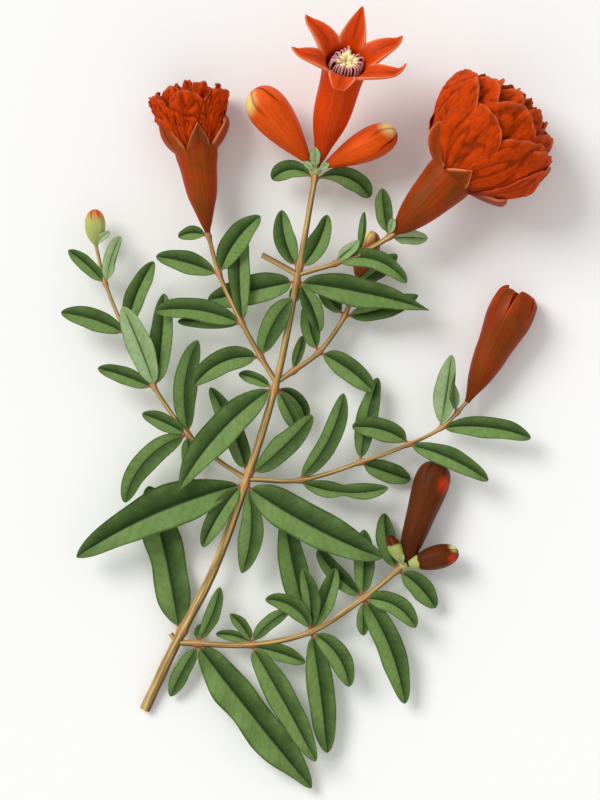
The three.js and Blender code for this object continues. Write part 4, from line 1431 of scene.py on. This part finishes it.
class SPRIG_OT_stage(bpy.types.Operator):
    """Make the table, the lights and the camera"""

    bl_idname = "sprig.stage"
    bl_label = "Stage"

    def execute(self, context):
        stage = context.scene.sprig_stage
        self.floor(stage)
        self.lights(context, stage)
        self.camera(context, stage)
        return {"FINISHED"}

    def floor(self, stage):
        half = stage.size / 2
        corners = [(-half, -half, 0), (half, -half, 0), (half, half, 0), (-half, half, 0)]
        mesh = bpy.data.meshes.new("table")
        mesh.from_pydata(corners, [], [(0, 1, 2, 3)])
        material = bpy.data.materials.new("table")
        material.use_nodes = True
        shader = material.node_tree.nodes["Principled BSDF"].inputs
        shader["Base Color"].default_value = (*stage.floor, 1)
        shader["Roughness"].default_value = 0.9
        shader["Specular IOR Level"].default_value = 0.0
        mesh.materials.append(material)
        add_object("table", mesh)

    def lights(self, context, stage):
        world = bpy.data.worlds.new("soft room")
        world.use_nodes = True
        sky = world.node_tree.nodes["Background"].inputs
        sky["Color"].default_value = (1, 1, 1, 1)
        sky["Strength"].default_value = stage.fill
        context.scene.world = world
        lamp = bpy.data.lights.new("key", "SUN")
        lamp.angle = stage.soft
        lamp.energy = stage.key
        key = add_object("key", lamp)
        key.location = (-0.9, 0.8, 1.2)
        key.rotation_euler = (-key.location).to_track_quat("-Z", "Y").to_euler()

    def camera(self, context, stage):
        """Straight above the sprig, on a long lens. `seen` is the height of what it sees."""
        seen, sensor, middle = 0.280, 36.0, (-0.0021, -0.0012, 0.012)
        data = bpy.data.cameras.new("camera")
        data.lens = stage.lens
        data.sensor_width = sensor
        camera = add_object("camera", data)
        camera.location = Vector(middle) + Vector((0, 0, seen * stage.lens / sensor))
        context.scene.camera = camera
        context.scene.view_settings.view_transform = "Standard"
        context.scene.view_settings.look = "None"


class SPRIG_PT_panel(bpy.types.Panel):
    """The sprig's settings and its operators"""

    bl_label = "Flowering Sprig"
    bl_idname = "SPRIG_PT_panel"
    bl_space_type = "VIEW_3D"
    bl_region_type = "UI"
    bl_category = "Sprig"

    def draw(self, context):
        for name, group in SETTINGS.items():
            box = self.layout.box()
            for entry in group.__annotations__:
                box.prop(getattr(context.scene, name), entry)
        for operator in OPERATORS:
            self.layout.operator(operator.bl_idname)


SETTINGS = {
    "sprig_leaves": SprigLeaves,
    "sprig_stems": SprigStems,
    "sprig_blooms": SprigBlooms,
    "sprig_stage": SprigStage,
}
OPERATORS = (
    SPRIG_OT_stage,
    SPRIG_OT_stems,
    SPRIG_OT_leaves,
    SPRIG_OT_single_flower,
    SPRIG_OT_full_flowers,
    SPRIG_OT_buds,
)
CLASSES = (*SETTINGS.values(), *OPERATORS, SPRIG_PT_panel)


def register():
    for kind in CLASSES:
        bpy.utils.register_class(kind)
    for name, group in SETTINGS.items():
        setattr(bpy.types.Scene, name, PointerProperty(type=group))


def unregister():
    for name in SETTINGS:
        delattr(bpy.types.Scene, name)
    for kind in reversed(CLASSES):
        bpy.utils.unregister_class(kind)


def main():
    register()
    bpy.ops.sprig.stage()
    bpy.ops.sprig.stems()
    bpy.ops.sprig.leaves()
    bpy.ops.sprig.single_flower()
    bpy.ops.sprig.full_flowers()
    bpy.ops.sprig.buds()


if __name__ == "__main__":
    main()
